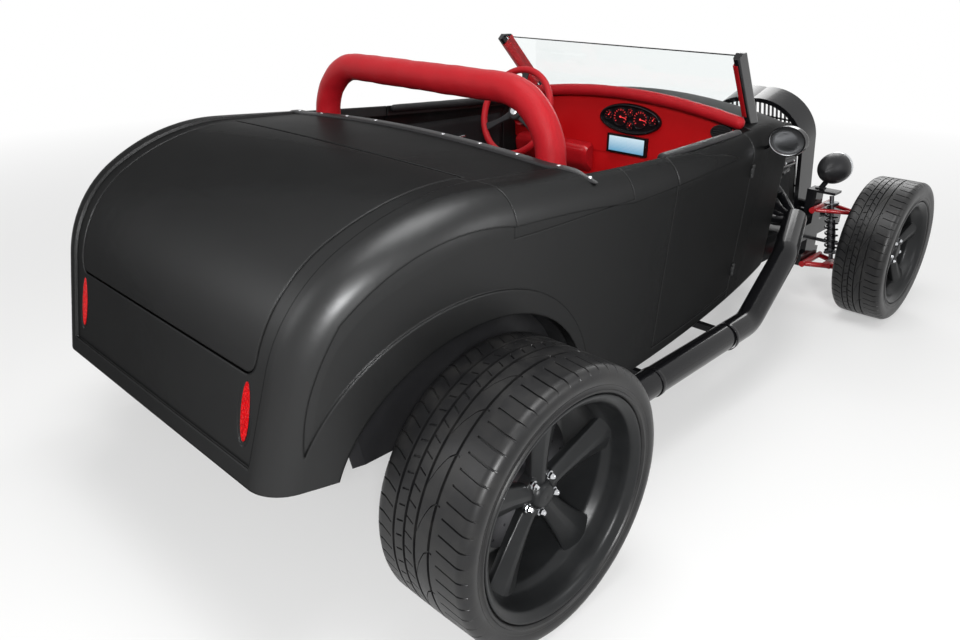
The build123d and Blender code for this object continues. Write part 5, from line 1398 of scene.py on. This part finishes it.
def damper(foot, top, coil_r, body_r):
    """Damper between two seats: rod, body with a threaded sleeve, and the spring's helix round it."""
    foot, top = np.array(foot, float) + (0, SHIFT, 0), np.array(top, float) + (0, SHIFT, 0)
    length = float(np.linalg.norm(top - foot))
    way = (top - foot) / length
    across = np.cross(way, (0, 1, 0.001))
    across /= np.linalg.norm(across)
    other = np.cross(way, across)

    def along(s, r):
        """Straight round bar between two distances from the foot."""
        ends = [foot + way * t for t in (s[0], (s[0] + s[1]) / 2, s[1])]
        return tube(ends, r, 28, up=across, bulge=0.0)

    low, high = SEAT_IN, length - SEAT_IN
    parts = [along((0.014, length - 0.014), 0.0105), along((low + 0.010, length * 0.62), body_r),
             along((low - 0.004, low + 0.003), coil_r), along((high - 0.003, high + 0.004), coil_r)]
    for k in range(THREADS):
        s = length * 0.30 + k * 0.006
        parts.append(along((s, s + 0.003), body_r + 0.0018))
    s = np.linspace(0, 1, 260)
    turn = 2 * math.pi * COILS * s
    helix = np.outer(np.cos(turn), across) + np.outer(np.sin(turn), other)
    line = foot + np.outer(low + 0.008 + s * (high - low - 0.016), way) + (coil_r - 0.006) * helix
    return parts, tube(line, WIRE_R, 12, up=way)


dampers, springs = [], []
for foot, top, coil_r in (((0.520, -2.692, 0.205), (0.462, -2.692, 0.548), 0.034),
                          ((0.320, -0.060, 0.328), (0.320, -0.150, 0.487), 0.028)):
    parts, coil = damper(foot, top, coil_r, coil_r - 0.015)
    for side in (1, -1):
        dampers += [sided(p, side) for p in parts]
        springs.append(sided(coil, side))
piece("dampers", dampers, "steel", "car", ["coilovers"])
piece("coil_springs", springs, "black_gloss", "car")
print("springs", len(springs))

# %% [markdown]
# ## Headlamps and mirrors
# Each headlamp has a chrome ring, a bowed glass lens and a shiny bowl behind it, and each mirror a
# bright oval face. All are turned shapes. A lens made as one sheet has no thickness for the light to
# cross, so lens and bowl are skins that come back on themselves.

# %% Headlamps
LAMP = (0.440, -2.700 + SHIFT, 0.664)
LENS_R, BOWL_R = 0.0665, 0.060


def skin(height, radius, thick):
    """Closed (along, radius) profile: a curve, and the same curve thick metres behind it."""
    return np.concatenate([np.column_stack([height, radius]),
                           np.column_stack([height[::-1] + thick, radius[::-1]])])


ring_profile = eased([(-0.0655, 0.066), (-0.0655, 0.0745), (-0.050, 0.0752), (-0.042, 0.0745),
                      (-0.042, 0.070), (-0.060, 0.066)], 0.0015)
lens_r = np.linspace(0.0001, LENS_R, 24)
bowl_r = np.linspace(0.0001, BOWL_R, 20)
lens = skin(-0.0735 + 0.010 * (lens_r / LENS_R) ** 2, lens_r, 0.004)
bowl = skin(-0.0625 + 0.0004 * np.cos(bowl_r * 400), bowl_r, 0.0005)
for side_name, side in SIDES.items():
    piece(f"headlamp_ring_{side_name}", [spin(ring_profile, LAMP, "Y", 72)], "chrome", "car",
          side=side)
    piece(f"headlamp_lens_{side_name}", [spin(lens, LAMP, "Y", 72)], "glass", "car", side=side)
    piece(f"headlamp_bowl_{side_name}", [spin(bowl, LAMP, "Y", 60)], "chrome", "car", side=side)
print("headlamp", round(2 * LENS_R, 3), "m across the lens")

# %% Mirror faces
MIRROR = (0.700, -1.512 + 0.0184 + SHIFT, 1.004)
MIRROR_HALVES = (0.068, 0.052)
a = around(72)[None]
r = np.array([0.0001, 0.55, 0.90, 0.93, 0.93, 0.0001])[:, None]
h = np.array([0.0, 0.0, 0.0, 0.0008, -0.004, -0.004])[:, None]
face = np.stack([MIRROR[0] + MIRROR_HALVES[0] * r * np.cos(a), MIRROR[1] + h + 0 * a,
                 MIRROR[2] + MIRROR_HALVES[1] * r * np.sin(a)], axis=-1)
for side_name, side in SIDES.items():
    piece(f"mirror_face_{side_name}", [grid(face, True, True)], "chrome", "car", side=side)
print("mirror faces", len(SIDES))

# %% [markdown]
# ## Engine dressing
# The engine is one plain block in the CAD model. What shows of a real one from outside is a belt over
# three pulleys, a hose to the radiator, cover bolts and the nut of the air cleaner. The belt could be
# drawn by hand, but its straight runs touch the pulleys only if they are true tangents.

# %% Drive belt
PULLEYS = [(0.0, 0.420, 0.082), (-0.165, 0.505, 0.044), (0.0, 0.590, 0.060)]    # x, z, radius
BELT_Y, BELT_HALF, BELT_THICK = -2.560 - 0.0225 + SHIFT, 0.010, 0.004


def leaving(one, other):
    """Angle on a pulley where the outer tangent towards the next one leaves it."""
    dx, dz, dr = (b - a for a, b in zip(one, other))
    return math.atan2(dz, dx) + math.pi / 2 + math.asin(dr / math.hypot(dx, dz))


def belt():
    """Flat belt round the three pulleys: arcs between the outer tangents, swept with a thin section."""
    points = []
    for i, (x, z, r) in enumerate(PULLEYS):
        a0 = leaving(PULLEYS[i - 1], PULLEYS[i])
        a1 = leaving(PULLEYS[i], PULLEYS[(i + 1) % 3])
        while a1 > a0:
            a1 -= 2 * math.pi
        turn = np.linspace(a0, a1, 24)
        points.append(np.column_stack([x + r * np.cos(turn), z + r * np.sin(turn)]))
    loop = np.concatenate(points)
    step = loop - np.roll(loop, 1, axis=0)
    normal = np.column_stack([-step[:, 1], step[:, 0]])
    normal /= np.maximum(np.linalg.norm(normal, axis=1, keepdims=True), 1e-9)
    rows = []
    for dy, out in ((-BELT_HALF, 0.0), (-BELT_HALF, BELT_THICK), (BELT_HALF, BELT_THICK), (BELT_HALF, 0.0)):
        ring = loop + normal * out
        rows.append(np.column_stack([ring[:, 0], np.full(len(ring), BELT_Y + dy), ring[:, 1]]))
    return grid(np.stack(rows), True, True)


piece("drive_belt", [belt()], "rubber", "car")
print("belt", triangles(PIECES["drive_belt"]), "triangles")

# %% Bolts, nut and hose
ENGINE_Y, BANK, COVER_OUT = -2.285, math.cos(math.radians(45)), 0.130 + 0.0525
CLEANER_TOP = 0.826 + 0.066
heads = []
for side in (1, -1):
    for i in range(6):
        for across in (-0.054, 0.054):
            start = np.array([0.150 + COVER_OUT * BANK + across * BANK, ENGINE_Y + (i - 2.5) * 0.088 + SHIFT,
                              0.620 + COVER_OUT * BANK - across * BANK])
            way = np.array([BANK, 0, BANK])
            bolt = tube([start, start + way * 0.005, start + way * 0.010], 0.0055, 6, up=(0, 1, 0), bulge=0.1)
            heads.append(sided(bolt, side))
nut = eased([(0.0, 0.0001), (0.0, 0.030), (0.004, 0.029), (0.006, 0.012), (0.018, 0.010),
             (0.020, 0.0001)], 0.001)
hose_path = [(x, y + SHIFT, z) for x, y, z in
             ((0.0, -2.600, 0.655), (0.0, -2.640, 0.800), (0.060, -2.745, 0.850))]
hose = tube(bent(hose_path, 0.05, 12), 0.021, 24, up=(1, 0, 0), bulge=0.1)
piece("cover_bolts", heads, "chrome", "car")
piece("cleaner_nut", [spin(nut, (0, ENGINE_Y + SHIFT, CLEANER_TOP), "Z", 40)], "chrome", "car")
piece("radiator_hose", [hose], "rubber", "car")
print("engine dressing", len(heads), "bolts")

# %% [markdown]
# ## Exhaust bands
# The side pipes end in a rolled lip and are held by two bands each. They are rings of revolution round
# the pipe, and the lip's profile goes back inside so that the pipe looks open but ends dark.

# %% Exhaust tips and bands
PIPE_X, PIPE_Z, TIP_Y = 0.674, 0.300, -0.640
tip = eased([(-0.030, 0.050), (-0.030, 0.0535), (0.026, 0.0535), (0.030, 0.0515), (0.030, 0.047),
             (0.001, 0.047), (0.001, 0.0001), (-0.002, 0.0001), (-0.002, 0.050)], 0.001)
band = eased([(-0.009, 0.0495), (-0.009, 0.0525), (0.009, 0.0525), (0.009, 0.0495)], 0.001)
rings = [sided(spin(profile, (PIPE_X, y + SHIFT, PIPE_Z), "Y", 48), side) for side in (1, -1)
         for profile, y in ((tip, TIP_Y), (band, -1.30), (band, -0.80))]
piece("pipe_bands", rings, "black_gloss", "car")
print("exhaust rings", len(rings))

# %% Write the sizes and finish
print("pieces", len(PIECES), "triangles", sum(triangles(o) for o in PIECES.values()))
